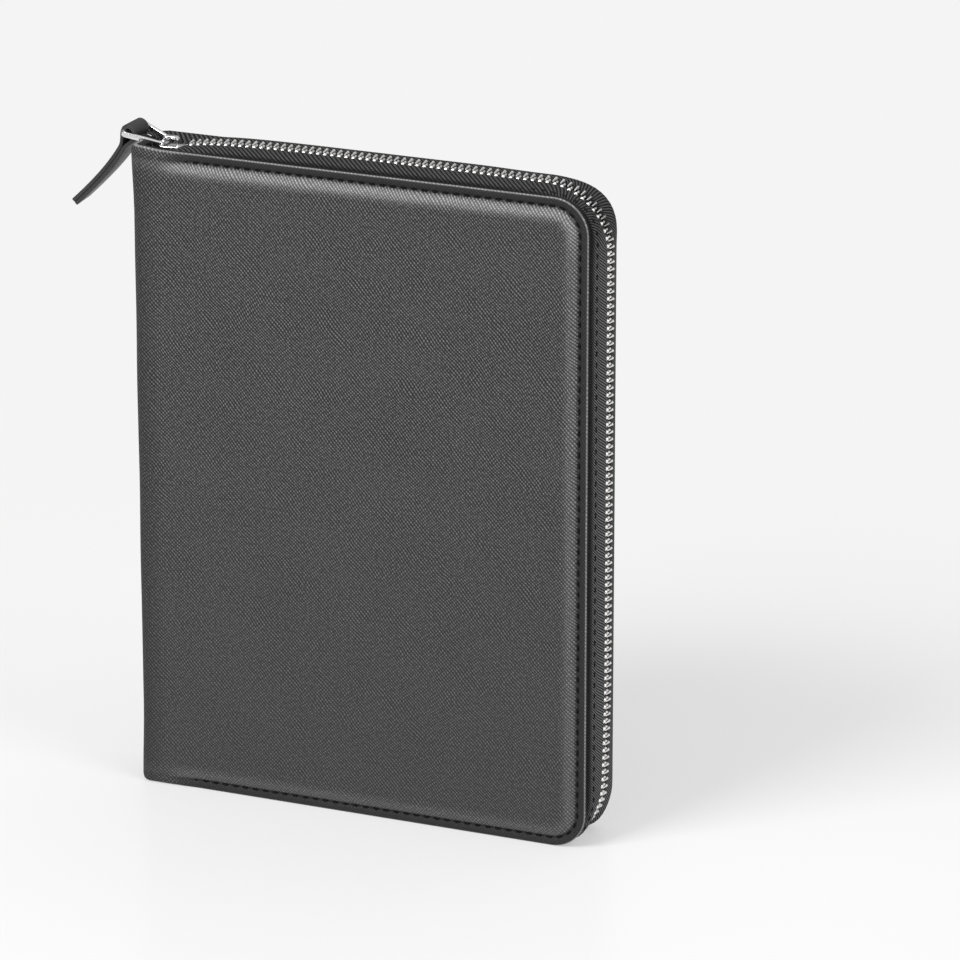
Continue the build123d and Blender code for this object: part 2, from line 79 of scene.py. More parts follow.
# Places that the solids give
COVER_LOW, COVER_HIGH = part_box("front_cover_leather")
SPINE_LOW, SPINE_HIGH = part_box("spine_leather")
TAPE_LOW, TAPE_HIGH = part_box("back_zip_tape")
JOINTS = {joint["name"]: joint for joint in frame["joints"]}
NODE_BODY = {
    node: body for body, nodes in frame["record"]["behaviour"]["bodies"].items() for node in nodes
}
RING_PIVOT = Vector(JOINTS["ring_swing"]["pos_m"])
STRAP_PIVOT = Vector(JOINTS["strap_swing"]["pos_m"])

HEIGHT = COVER_HIGH.z
FORE = COVER_HIGH.x
HINGE = COVER_LOW.x
FACE = -COVER_LOW.y
WALL_FOOT = -COVER_HIGH.y
INNER_FACE = -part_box("front_cover_lining")[1].y
SPINE_OUT = SPINE_LOW.x
SPINE_HALF = SPINE_HIGH.y
SPINE_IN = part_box("spine_lining")[1].x
FOLD_RADIUS = HINGE - SPINE_OUT
MIDDLE = HEIGHT / 2

# Which way each cover and its half of the zip lie from the middle plane
SIDES = {"front": -1, "back": 1}

# Degrees from across to the directions that cross the embossed ridges, their mean tone and spacing
GRAIN_TURNS = (42.5, 135.6)
GRAIN_LEVEL = 0.17
GRAIN_PITCH = 0.98 * MM


def length(name, description, default):
    """A size in millimetres, kept in metres."""
    return FloatProperty(
        name=name, description=description, default=default * MM, min=0.0, precision=5, unit="LENGTH"
    )


def power(name, description, default):
    """A lamp's power in watts."""
    return FloatProperty(name=name, description=description, default=default, min=0.0, unit="POWER")


def colour(name, description, default):
    """A colour in linear light."""
    return FloatVectorProperty(
        name=name, description=description, default=default, size=3, min=0.0, max=1.0, subtype="COLOR"
    )


class PadfolioCase(PropertyGroup):
    """Sizes of the covers."""

    corner_radius: length("Corner radius", "Rounding of the covers' fore corners", 13.0)
    back_head_radius: length("Back head radius", "Rounding of the back cover's upper fore corner", 17.0)
    edge_rounding: length("Edge rounding", "Turned edge of the leather", 0.5)
    panel_rise: length("Panel rise", "Padded panel above the sewn edge strip", 1.5)
    panel_crown: length("Panel crown", "Swell of the padded panel at its middle", 0.3)
    shoulder: length("Shoulder", "Width of the padded panel's slope", 4.0)
    stitch_inset: length("Stitch inset", "Stitching from the cover's edge", 3.1)
    stitch_start: length("Stitch start", "Stitching from the spine's outer face", 18.0)
    stitch_pitch: length("Stitch pitch", "One stitch and its gap", 3.95)
    stitch_width: length("Thread", "Thickness of the sewing thread", 0.85)
    channel: length("Channel", "Depth that the stitching pulls into the leather", 0.5)
    channel_width: length("Channel width", "Width of the sewn groove", 1.6)
    head_rise: length("Head rise", "Lift of the front leather's upper edge beside the spine", 0.9)
    spine_swell: length("Spine swell", "Leather past the board at the spine", 1.1)
    spine_flare: length("Spine flare", "More swell at the spine's head and foot", 0.7)
    leather: length("Leather", "Thickness of the covers' leather", 1.0)


class PadfolioZip(PropertyGroup):
    """Sizes of the zip."""

    tooth_pitch: length("Tooth pitch", "From a tooth to the next on one tape", 2.7)
    first_tooth: length("First tooth", "From the tapes' end to the first tooth", 12.0)
    tape: length("Tape", "Thickness of the woven tape", 0.55)
    rise: length("Rise", "From the slider up to the chain's level run", 4.7)
    lean: length("Lean", "Inward sag of the chain at the foot's corner", 0.6)
    spread: length("Spread", "Rise of the tape's edge at the head's corner", 2.8)
    foot_spread: length("Foot spread", "Rise of the tape's edge at the foot's corner", 1.9)
    back_lift: length("Back lift", "Back teeth above the front ones along the head", 0.4)
    crown: length("Crown", "Bulge of the back tape above the chain", 0.25)
    rib: length("Rib", "One rib of the herringbone weave, along the tape", 1.8)
    chevron: length("Chevron", "Width of a stripe of the herringbone weave", 7.6)
    head_bow: length("Head bow", "Sideways bow of the chain to the back along the head", 1.0)
    fore_bow: length("Fore bow", "Sideways bow of the chain to the back down the fore edge", 2.6)


class PadfolioInside(PropertyGroup):
    """Sizes inside the case."""

    rule_spacing: length("Rule spacing", "Between the writing pad's lines", 7.0)
    stitch_pitch: length("Stitch pitch", "One stitch and its gap on the pockets", 3.2)
    thread: length("Thread", "Thickness of the pockets' thread", 0.45)
    weave: length("Weave", "Thread spacing of the lining cloth", 0.6)


class PadfolioColours(PropertyGroup):
    """Colours of the finishes."""

    leather: colour("Leather", "Embossed leather on the covers", (0.190, 0.190, 0.193))
    leather_pit: colour("Leather grooves", "Bottom of the embossed grain", (0.003, 0.003, 0.003))
    # The rim colour is a painted highlight: the light that the covers' rounded edge catches
    rim_highlight: colour("Rim", "Burnished edge of the covers", (0.36, 0.36, 0.365))
    smooth_leather: colour("Smooth leather", "Pockets and strap", (0.022, 0.022, 0.023))
    tape: colour("Tape", "Raised ribs of the zip tape", (0.165, 0.165, 0.169))
    tape_dark: colour("Tape grooves", "Between the ribs of the zip tape", (0.009, 0.009, 0.009))
    lining: colour("Lining", "Lining cloth", (0.030, 0.030, 0.034))
    thread: colour("Thread", "Sewing thread", (0.003, 0.003, 0.003))
    teeth: colour("Teeth", "Zip teeth", (0.97, 0.96, 0.95))
    slider: colour("Slider", "Slider and ring", (0.78, 0.78, 0.79))
    paper: colour("Paper", "Writing pad", (0.86, 0.85, 0.80))
    rule: colour("Rules", "Lines on the writing pad", (0.45, 0.52, 0.62))
    board: colour("Board", "Grey board and card", (0.36, 0.34, 0.31))


class PadfolioStage(PropertyGroup):
    """Floor and light."""

    floor: colour("Floor", "Plain floor", (0.84, 0.84, 0.84))
    field: colour("Field", "Even backdrop away from the object", (0.905, 0.905, 0.905))
    horizon: colour("Horizon", "Sky near the level of the floor", (0.42, 0.42, 0.42))
    zenith: colour("Zenith", "Sky overhead", (1.0, 1.0, 1.0))
    sky: FloatProperty(name="Sky", description="Light from all round", default=0.85, min=0.0)
    key: power("Key", "Soft lamp above and in front", 70.0)
    side: power("Side", "Soft lamp from the right", 14.0)


class PadfolioSettings(PropertyGroup):
    """All settings of the padfolio."""

    case: PointerProperty(type=PadfolioCase)
    zip: PointerProperty(type=PadfolioZip)
    inside: PointerProperty(type=PadfolioInside)
    colours: PointerProperty(type=PadfolioColours)
    stage: PointerProperty(type=PadfolioStage)


def settings():
    """The scene's padfolio settings."""
    return bpy.context.scene.padfolio


def smooth_step(value, low, high):
    """0 below low, 1 above high and an easy curve between them."""
    share = min(max((value - low) / (high - low), 0.0), 1.0)
    return share * share * (3 - 2 * share)


# Shader node groups

def add_node(tree, kind, inputs=None, **options):
    """A new node with its options set and its inputs filled or linked."""
    node = tree.nodes.new(kind)
    for name, value in options.items():
        setattr(node, name, value)
    for name, value in (inputs or {}).items():
        if isinstance(value, bpy.types.NodeSocket):
            tree.links.new(value, node.inputs[name])
        else:
            node.inputs[name].default_value = value
    return node


def maths(tree, operation, *values):
    """The result of one sum on values or sockets."""
    return add_node(tree, "ShaderNodeMath", dict(enumerate(values)), operation=operation).outputs[0]


def eased(tree, value, low, high):
    """A value carried smoothly from 0 at low to 1 at high."""
    ends = {"Value": value, "From Min": low, "From Max": high}
    return add_node(tree, "ShaderNodeMapRange", ends, interpolation_type="SMOOTHSTEP").outputs["Result"]


def mixed(tree, share, first, second):
    """A colour between two others."""
    return add_node(tree, "ShaderNodeMix", {0: share, 6: first, 7: second}, data_type="RGBA").outputs[2]


def clouds(tree, place, scale, detail):
    """Soft noise from 0 to 1."""
    inputs = {"Vector": place, "Scale": scale, "Detail": detail}
    return add_node(tree, "ShaderNodeTexNoise", inputs).outputs["Fac"]


def new_group(name, inputs, outputs):
    """An empty shader node group and its sockets. An input named Place is a vector."""
    tree = bpy.data.node_groups.new(name, "ShaderNodeTree")
    for label in inputs:
        kind = "NodeSocketVector" if label == "Place" else "NodeSocketFloat"
        tree.interface.new_socket(name=label, in_out="INPUT", socket_type=kind)
    for label in outputs:
        tree.interface.new_socket(name=label, in_out="OUTPUT", socket_type="NodeSocketFloat")
    return tree, tree.nodes.new("NodeGroupInput").outputs, tree.nodes.new("NodeGroupOutput").inputs


def ridge_rows(tree, place, turn, pitch, waver):
    """Rounded ridges side by side: turn is the angle of the direction that crosses them."""
    crossing = {0: place, 1: (cos(turn), sin(turn), 0)}
    reached = add_node(tree, "ShaderNodeVectorMath", crossing, operation="DOT_PRODUCT").outputs["Value"]
    rows = maths(tree, "ADD", maths(tree, "DIVIDE", reached, pitch), waver)
    return maths(tree, "MULTIPLY", maths(tree, "PINGPONG", rows, 0.5), 2.0)


def cross_grain_group():
    """Diagonal cross-hatch pressed into leather: two sets of broken ridges."""
    tree, given, result = new_group("Cross grain", ["Place", "Pitch"], ["Height", "Tone"])
    place = given["Place"]
    waver = maths(tree, "MULTIPLY", maths(tree, "SUBTRACT", clouds(tree, place, 70.0, 1.0), 0.5), 3.2)
    first, second = (ridge_rows(tree, place, radians(turn), given["Pitch"], waver) for turn in GRAIN_TURNS)
    strength = eased(tree, clouds(tree, place, 900.0, 1.0), 0.3, 0.7)
    crossing = maths(tree, "MULTIPLY_ADD", eased(tree, second, 0.1, 0.8), 0.72, 0.28)
    ridges = maths(tree, "MULTIPLY", eased(tree, first, 0.15, 0.85), crossing)
    varied = maths(tree, "MULTIPLY", ridges, maths(tree, "MULTIPLY_ADD", strength, 0.6, 0.4))
    tree.links.new(varied, result["Height"])
    patches = maths(tree, "SUBTRACT", clouds(tree, place, 45.0, 3.0), 0.5)
    tree.links.new(maths(tree, "MULTIPLY_ADD", patches, 0.06, varied), result["Tone"])
    return tree


def ribbed_weave_group():
    """Slanting ribs that change direction from stripe to stripe, as in herringbone."""
    tree, given, result = new_group(
        "Ribbed weave", ["Along", "Across", "Rib", "Chevron", "Slant"], ["Height", "Tone"]
    )
    stripes = maths(tree, "PINGPONG", given["Across"], given["Chevron"])
    shifted = maths(tree, "SUBTRACT", given["Along"], maths(tree, "MULTIPLY", stripes, given["Slant"]))
    rows = maths(tree, "PINGPONG", maths(tree, "DIVIDE", shifted, given["Rib"]), 0.5)
    threads = maths(tree, "DIVIDE", maths(tree, "MULTIPLY", given["Across"], 3.0), given["Rib"])
    picks = eased(tree, maths(tree, "PINGPONG", threads, 0.5), 0.0, 0.3)
    dents = maths(tree, "MULTIPLY_ADD", picks, 0.3, 0.7)
    height = maths(tree, "MULTIPLY", eased(tree, rows, 0.12, 0.38), dents)
    tree.links.new(height, result["Height"])
    place = add_node(tree, "ShaderNodeCombineXYZ", {"X": given["Along"], "Y": given["Across"]}).outputs[0]
    fuzz = maths(tree, "ADD", clouds(tree, place, 2600.0, 2.0), 0.5)
    tree.links.new(maths(tree, "MULTIPLY", height, fuzz), result["Tone"])
    return tree


def soft_wear_group():
    """Slow patches of handling, for gloss that isn't even, and fine specks."""
    tree, given, result = new_group("Soft wear", ["Place", "Scale", "Low", "High"], ["Value", "Fine"])
    patches = eased(tree, clouds(tree, given["Place"], given["Scale"], 4.0), 0.3, 0.7)
    spread = maths(tree, "SUBTRACT", given["High"], given["Low"])
    tree.links.new(maths(tree, "MULTIPLY_ADD", patches, spread, given["Low"]), result["Value"])
    fine_scale = maths(tree, "MULTIPLY", given["Scale"], 40.0)
    tree.links.new(clouds(tree, given["Place"], fine_scale, 2.0), result["Fine"])
    return tree


GROUP_MAKERS = {
    "Cross grain": cross_grain_group,
    "Ribbed weave": ribbed_weave_group,
    "Soft wear": soft_wear_group,
}


def placed_group(tree, name, inputs):
    """The outputs of a shared group with this material's values. The group is made when first asked for."""
    group = bpy.data.node_groups.get(name) or GROUP_MAKERS[name]()
    return add_node(tree, "ShaderNodeGroup", inputs, node_tree=group).outputs


def soft_wear(tree, place, scale, low=0.0, high=1.0):
    """The shared patches of handling, from low to high."""
    return placed_group(tree, "Soft wear", {"Place": place, "Scale": scale, "Low": low, "High": high})


# Materials

def opaque(rgb):
    """A colour with its alpha."""
    return (*rgb, 1.0)


def shades(tree, share, tint, low, high=1.0):
    """A colour that varies between two shades of a tint."""
    return mixed(tree, share, *(opaque([part * c for c in tint]) for part in (low, high)))


def new_material(name, **sockets):
    """A material with its Principled shader's even values set."""
    made = bpy.data.materials.new(name)
    made.use_nodes = True
    shader = made.node_tree.nodes["Principled BSDF"]
    for label, value in sockets.items():
        shader.inputs[label.replace("_", " ")].default_value = value
    return made, made.node_tree, shader


def object_place(tree):
    """The place on the piece, in metres."""
    return add_node(tree, "ShaderNodeTexCoord").outputs["Object"]


def attribute(tree, name, kind="Fac"):
    """A value that the piece's mesh carries."""
    return add_node(tree, "ShaderNodeAttribute", attribute_name=name).outputs[kind]


def axis_of(tree, index):
    """One coordinate of the place on the piece."""
    return add_node(tree, "ShaderNodeSeparateXYZ", {0: object_place(tree)}).outputs[index]


def bump(tree, shader, height, depth):
    """Gives the shader a relief of a depth in metres."""
    node = add_node(tree, "ShaderNodeBump", {"Height": height, "Distance": depth, "Strength": 1.0})
    tree.links.new(node.outputs[0], shader.inputs["Normal"])


def cross_grain_leather():
    """Black leather with an embossed diagonal cross grain, smooth sewn strips and dark painted edges."""
    made, tree, shader = new_material("cross_grain_leather", Specular_IOR_Level=0.4)
    colours = settings().colours
    place = attribute(tree, "grain", "Vector")
    relief = attribute(tree, "relief")
    rim_highlight = attribute(tree, "rim_highlight")
    grain = placed_group(tree, "Cross grain", {"Place": place, "Pitch": GRAIN_PITCH})
    wear = soft_wear(tree, place, 30.0, 0.34, 0.40)
    height = add_node(tree, "ShaderNodeSeparateXYZ", {"Vector": place}).outputs["Y"]
    crisp = maths(tree, "MULTIPLY_ADD", eased(tree, height, 0.0, 0.8 * HEIGHT), 0.45, 0.55)
    evened = maths(tree, "MULTIPLY_ADD", crisp, -GRAIN_LEVEL, GRAIN_LEVEL)
    grain_tone = maths(tree, "MULTIPLY_ADD", grain["Tone"], crisp, evened)
    pressed = maths(tree, "MAXIMUM", relief, 0.0)
    painted = maths(tree, "MAXIMUM", maths(tree, "MULTIPLY", relief, -1.0), 0.0)
    patterned = maths(tree, "MULTIPLY", maths(tree, "MULTIPLY", grain["Height"], crisp), pressed)
    smoothed = maths(tree, "MULTIPLY_ADD", grain["Height"], 0.12, 0.03)
    flat_tone = maths(tree, "MULTIPLY", maths(tree, "SUBTRACT", 1.0, pressed), smoothed)
    level = maths(tree, "ADD", maths(tree, "MULTIPLY", grain_tone, pressed), flat_tone)
    tone = mixed(tree, level, opaque(colours.leather_pit), opaque(colours.leather))
    # Painted highlight along the rim, with the grain showing through it
    rim_highlight_share = maths(tree, "MULTIPLY", rim_highlight, maths(tree, "MULTIPLY_ADD", grain["Height"], 0.6, 0.4))
    # Painted highlight on the panel's shoulder, which faces up towards the light, in the rim's colour
    bright = maths(tree, "ADD", patterned, 0.22)
    shoulder_highlight_share = maths(tree, "MULTIPLY", attribute(tree, "shoulder_highlight"), bright)
    highlighted = mixed(tree, maths(tree, "MAXIMUM", rim_highlight_share, shoulder_highlight_share), tone, opaque(colours.rim_highlight))
    edged = mixed(tree, painted, highlighted, opaque(colours.thread))
    tree.links.new(edged, shader.inputs["Base Color"])
    dulled = maths(tree, "MULTIPLY_ADD", level, -0.4, 0.4)
    roughness = maths(tree, "ADD", wear["Value"], maths(tree, "MAXIMUM", dulled, 0.0))
    tree.links.new(roughness, shader.inputs["Roughness"])
    bump(tree, shader, patterned, 0.14 * MM)
    return made


def smooth_leather():
    """Black leather with a fine pebble."""
    made, tree, shader = new_material("smooth_leather", Specular_IOR_Level=0.45)
    place = object_place(tree)
    wear = soft_wear(tree, place, 40.0, 0.42, 0.58)
    tone = shades(tree, wear["Fine"], settings().colours.smooth_leather, 0.7, 1.3)
    tree.links.new(tone, shader.inputs["Base Color"])
    tree.links.new(wear["Value"], shader.inputs["Roughness"])
    cells = {"Vector": place, "Scale": 1500.0}
    pebbles = add_node(tree, "ShaderNodeTexVoronoi", cells, feature="SMOOTH_F1")
    bump(tree, shader, pebbles.outputs["Distance"], 0.08 * MM)
    return made


def woven(
    name,
    along,
    across,
    rib,
    chevron,
    light,
    dark,
    depth,
    slant=2.2,
    turn=None,
    gap_shade=None,
    head_shade=None,
    **sockets,
):
    """A ribbed cloth. Along and across are functions of the node tree that give its thread directions.

    Past the turn the ribs slant the other way and lie closer. Gap shade and head shade each give two places,
    across the cloth and along it, between which its tone rises from a painted shade to full.
    """
    made, tree, shader = new_material(name, **sockets)
    lengthwise = along(tree)
    crossing = across(tree)
    inputs = {"Along": lengthwise, "Across": crossing, "Rib": rib, "Chevron": chevron, "Slant": slant}
    if turn:
        inputs["Slant"] = maths(tree, "MULTIPLY_ADD", eased(tree, lengthwise, *turn), -2.7 * slant, slant)
        beyond = maths(tree, "MAXIMUM", maths(tree, "SUBTRACT", lengthwise, turn[1]), 0.0)
        inputs["Along"] = maths(tree, "MULTIPLY_ADD", beyond, 0.7, lengthwise)
    weave = placed_group(tree, "Ribbed weave", inputs)
    level = weave["Tone"]
    # Painted shade beside the cover's gap, and along the head, which gets less light than the fore edge
    for stretch, reached, least in ((gap_shade, crossing, 0.3), (head_shade, lengthwise, 0.4)):
        if stretch:
            kept = maths(tree, "MULTIPLY_ADD", eased(tree, reached, *stretch), 1 - least, least)
            level = maths(tree, "MULTIPLY", level, kept)
    tree.links.new(mixed(tree, level, opaque(dark), opaque(light)), shader.inputs["Base Color"])
    bump(tree, shader, weave["Height"], depth)
    return made


def herringbone_tape():
    """The zip's woven tape."""
    colours = settings().colours
    sizes = settings().zip
    return woven(
        "herringbone_tape",
        lambda tree: attribute(tree, "along"),
        lambda tree: attribute(tree, "across"),
        sizes.rib,
        sizes.chevron,
        colours.tape,
        colours.tape_dark,
        0.14 * MM,
        # Painted shade in the gap where the tape dips into its cover; on the mirrored back tape it falls by the
        # teeth
        gap_shade=(weave_across(9.2 * MM), weave_across(7.8 * MM)),
        # Painted shade along the head, which gets less light than the fore edge
        head_shade=(TOP_RUN + 0.55 * HEAD_TURN, TOP_RUN + 1.1 * HEAD_TURN),
        turn=(TOP_RUN + 0.1 * HEAD_TURN, TOP_RUN + 0.9 * HEAD_TURN),
        slant=1.3,
        Roughness=0.8,
        Specular_IOR_Level=0.08,
    )


def flat_cloth(name, rib, light, depth, sheen):
    """A cloth woven along the case's height."""
    dark = [0.35 * c for c in light]
    return woven(
        name,
        lambda tree: axis_of(tree, 2),
        lambda tree: axis_of(tree, 0),
        rib,
        rib,
        light,
        dark,
        depth,
        Roughness=0.8,
        Sheen_Weight=sheen,
    )


def sewing_thread():
    """Black thread with its twist."""
    made, tree, shader = new_material("sewing_thread", Roughness=0.6, Specular_IOR_Level=0.15)
    turns = soft_wear(tree, object_place(tree), 60.0)
    tone = shades(tree, turns["Fine"], settings().colours.thread, 0.5, 1.6)
    tree.links.new(tone, shader.inputs["Base Color"])
    bump(tree, shader, turns["Fine"], 0.05 * MM)
    return made


def plated_metal(name, tint, low, high):
    """Bright plated metal, rubbed a little unevenly."""
    made, tree, shader = new_material(name, Metallic=1.0)
    # Uneven wear of the plating, in its roughness, tone and relief
    wear_and_highlight = soft_wear(tree, object_place(tree), 180.0, low, high)
    tone = shades(tree, wear_and_highlight["Fine"], tint, 0.85)
    tree.links.new(tone, shader.inputs["Base Color"])
    tree.links.new(wear_and_highlight["Value"], shader.inputs["Roughness"])
    bump(tree, shader, wear_and_highlight["Value"], 0.05 * MM)
    return made


def ruled_paper():
    """Off-white paper with pale rules across its face."""
    made, tree, shader = new_material("ruled_paper", Roughness=0.85)
    colours = settings().colours
    lines = maths(tree, "DIVIDE", axis_of(tree, 2), settings().inside.rule_spacing)
    ruled = maths(tree, "LESS_THAN", maths(tree, "PINGPONG", lines, 0.5), 0.03)
    normal = add_node(tree, "ShaderNodeNewGeometry").outputs["Normal"]
    facing = add_node(tree, "ShaderNodeSeparateXYZ", {0: normal})
    front = maths(tree, "LESS_THAN", facing.outputs[1], -0.9)
    tooth = soft_wear(tree, object_place(tree), 25.0)
    sheet = shades(tree, tooth["Value"], colours.paper, 0.96)
    tone = mixed(tree, maths(tree, "MULTIPLY", ruled, front), sheet, opaque(colours.rule))
    tree.links.new(tone, shader.inputs["Base Color"])
    bump(tree, shader, tooth["Fine"], 0.02 * MM)
    return made


def flecked_board():
    """Pressed board with flecks."""
    made, tree, shader = new_material("flecked_board", Roughness=0.9)
    flecks = soft_wear(tree, object_place(tree), 30.0)
    tone = shades(tree, flecks["Fine"], settings().colours.board, 0.75, 1.15)
    tree.links.new(tone, shader.inputs["Base Color"])
    bump(tree, shader, flecks["Fine"], 0.05 * MM)
    return made


LONE_FINISHES = {
    "cross_grain_leather": cross_grain_leather,
    "smooth_leather": smooth_leather,
    "herringbone_tape": herringbone_tape,
    "sewing_thread": sewing_thread,
    "ruled_paper": ruled_paper,
    "flecked_board": flecked_board,
}


def material(name):
    """A finish by name, made the first time that it is asked for."""
    made = bpy.data.materials.get(name)
    if made:
        return made
    colours = settings().colours
    # Rib, colour, depth of the relief and sheen
    cloths = {
        "woven_lining": (settings().inside.weave, colours.lining, 0.12 * MM, 0.2),
        "woven_binding": (0.45 * MM, colours.lining, 0.08 * MM, 0.1),
        "ribbed_elastic": (1.1 * MM, colours.tape, 0.25 * MM, 0.2),
    }
    # Colour, and roughness at its least and most
    metals = {
        "plated_teeth": (colours.teeth, 0.3, 0.42),
        "plated_slider": (colours.slider, 0.08, 0.18),
    }
    if name in cloths:
        return flat_cloth(name, *cloths[name])
    if name in metals:
        return plated_metal(name, *metals[name])
    return LONE_FINISHES[name]()


# Mesh helpers

def new_piece(bm, name, finish, sharp=35):
    """A finished object made from a bmesh, smooth except across sharp edges."""
    mesh = bpy.data.meshes.new(name)
    bm.to_mesh(mesh)
    bm.free()
    mesh.shade_smooth()
    mesh.set_sharp_from_angle(angle=radians(sharp))
    mesh.materials.append(material(finish))
    piece = bpy.data.objects.new(name, mesh)
    bpy.context.scene.collection.objects.link(piece)
    return piece


def thicken(piece, thickness, offset, even=True):
    """Gives a sheet its thickness."""
    layer = piece.modifiers.new("thickness", "SOLIDIFY")
    layer.thickness = thickness
    layer.offset = offset
    layer.use_even_offset = even


def dress(node, finish):
    """Puts a finish on a solid that keeps its shape."""
    mesh = frame["nodes"][node].data
    mesh.materials.clear()
    mesh.materials.append(material(finish))


def rounded(bm, geom, offset, segments, affect="VERTICES", clamp=False):
    """Rounds the given corners, or edges."""
    bmesh.ops.bevel(
        bm,
        geom=geom,
        offset=offset,
        offset_type="OFFSET",
        segments=segments,
        profile=0.5,
        affect=affect,
        clamp_overlap=clamp,
        material=-1,
    )


def face_towards(bm, way):
    """Makes a sheet's faces agree and look mostly along a direction."""
    towards = Vector(way)
    bmesh.ops.recalc_face_normals(bm, faces=bm.faces)
    if sum(f.normal.dot(towards) * f.calc_area() for f in bm.faces) < 0:
        bmesh.ops.reverse_faces(bm, faces=bm.faces)


def eased_copy(node, width, finish):
    """A copy of a solid with its hard edges softened, in the solid's place."""
    solid = frame["nodes"][node]
    bm = bmesh.new()
    bm.from_mesh(solid.data)
    bmesh.ops.transform(bm, matrix=solid.matrix_world, verts=bm.verts)
    bmesh.ops.remove_doubles(bm, verts=bm.verts, dist=1e-6)
    bmesh.ops.dissolve_limit(bm, angle_limit=radians(1), verts=bm.verts, edges=bm.edges)
    hard = [e for e in bm.edges if e.is_manifold and e.calc_face_angle() > radians(30)]
    rounded(bm, hard, width, 3, affect="EDGES", clamp=True)
    piece = new_piece(bm, f"{node}_eased", finish, sharp=40)
    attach(piece, NODE_BODY[node])
    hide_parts(node)


def boundary(elements):
    """The new verts and free edges that an extrusion gives."""
    verts = [e for e in elements if isinstance(e, bmesh.types.BMVert)]
    edges = [e for e in elements if isinstance(e, bmesh.types.BMEdge) and e.is_boundary]
    return verts, edges


def sweep(bm, profile, frames, distances=None, closed=False):
    """Draws a row of (across, out) points through frames, and gives the edges of both ends.

    Each vertex carries its way along and across.
    """
    along = bm.verts.layers.float.get("along") or bm.verts.layers.float.new("along")
    across = bm.verts.layers.float.get("across") or bm.verts.layers.float.new("across")
    verts = [bm.verts.new(frames[0] @ Vector((0, y, n))) for y, n in profile]
    ring = verts + verts[:1] if closed else verts
    edges = [bm.edges.new(pair) for pair in zip(ring, ring[1:])]
    reached = 0.0
    for before, vert in zip([verts[0]] + verts, verts):
        reached += (vert.co - before.co).length
        vert[across] = reached
        vert[along] = distances[0] if distances else 0.0
    first = list(edges)
    for i in range(1, len(frames)):
        verts, edges = boundary(bmesh.ops.extrude_edge_only(bm, edges=edges)["geom"])
        bmesh.ops.transform(bm, matrix=frames[i] @ frames[i - 1].inverted(), verts=verts)
        for vert in verts:
            vert[along] = distances[i] if distances else i
    return first, edges


def route_pieces(corners, radii):
    """Straight runs and arcs of a rounded route, as (start, heading, length, radius)."""
    pieces = []
    here = corners[0]
    for before, corner, after, radius in zip(corners, corners[1:], corners[2:], radii):
        heading = (corner - before).normalized()
        leaving = (after - corner).normalized()
        turn = heading.angle(leaving)
        cut = radius * tan(turn / 2)
        run = (corner - here).length - cut
        pieces.append((here, heading, run, 0.0))
        pieces.append((here + heading * run, heading, radius * turn, radius))
        here = corner + leaving * cut
    rest = corners[-1] - here
    pieces.append((here, rest.normalized(), rest.length, 0.0))
    return pieces


def route_length(route):
    """The whole length of a route."""
    return sum(piece[2] for piece in route)


def lying_frame(place, along, depth=0.0):
    """Frame in an upright plane: X along a direction, Y to the back cover, Z to the direction's left."""
    out = Vector((-along.y, along.x))
    return Matrix(
        ((along.x, 0, out.x, place.x), (0, 1, 0, depth), (along.y, 0, out.y, place.y), (0, 0, 0, 1))
    )


def route_frame(route, distance, depth=0.0, lift=0.0):
    """Frame at a distance along a clockwise route: X along it, Y to the back cover, Z outwards."""
    left = distance
    for start, heading, run, radius in route[:-1]:
        if left <= run:
            break
        left -= run
    else:
        start, heading, run, radius = route[-1]
    left = min(left, run)
    turn = left / radius if radius else 0.0
    ahead = heading.x * cos(turn) + heading.y * sin(turn)
    along = Vector((ahead, heading.y * cos(turn) - heading.x * sin(turn)))
    out = Vector((-along.y, along.x))
    if radius:
        place = start + Vector((heading.y, -heading.x)) * radius + out * radius
    else:
        place = start + heading * left
    return lying_frame(place + out * lift, along, depth)


def flip_to_back(bm):
    """Turns a front piece into the back cover's."""
    bmesh.ops.scale(bm, vec=(1, -1, 1), verts=bm.verts)
    bmesh.ops.reverse_faces(bm, faces=bm.faces)


def copies(bm, shape, matrices):
    """Places copies of a small bmesh shape."""
    pattern = bpy.data.meshes.new("pattern")
    shape.to_mesh(pattern)
    shape.free()
    for matrix in matrices:
        start = len(bm.verts)
        bm.from_mesh(pattern)
        bm.verts.ensure_lookup_table()
        bmesh.ops.transform(bm, matrix=matrix, verts=bm.verts[start:])
    bpy.data.meshes.remove(pattern)


def rounded_bar(sections, sides=8):
    """A bar along Y through sections of (place, half width along X, half height along Z)."""
    bar = bmesh.new()
    rings = []
    for place, wide, high in sections:
        made = bmesh.ops.create_circle(bar, segments=sides, radius=1.0, cap_ends=False)["verts"]
        turn = Matrix.Rotation(pi / sides, 4, "Z")
        size = Matrix.Diagonal((wide * 1.08, high * 1.08, 1, 1))
        stand = Matrix.Translation((0, place, 0)) @ Matrix.Rotation(pi / 2, 4, "X") @ size @ turn
        bmesh.ops.transform(bar, matrix=stand, verts=made)
        rings.append(list({e for v in made for e in v.link_edges}))
    for here, there in zip(rings, rings[1:]):
        bmesh.ops.bridge_loops(bar, edges=here + there)
    for end in (rings[0], rings[-1]):
        bmesh.ops.contextual_create(bar, geom=end)
    bmesh.ops.recalc_face_normals(bar, faces=bar.faces)
    return bar


def raise_faces(bm, by):
    """Extrudes a flat shape into a plate."""
    raised = bmesh.ops.extrude_face_region(bm, geom=bm.faces[:])["geom"]
    verts = [e for e in raised if isinstance(e, bmesh.types.BMVert)]
    bmesh.ops.translate(bm, vec=by, verts=verts)


# Covers

def sewn_from():
    """Where the covers' stitching starts, beside the spine."""
    return SPINE_OUT + settings().case.stitch_start


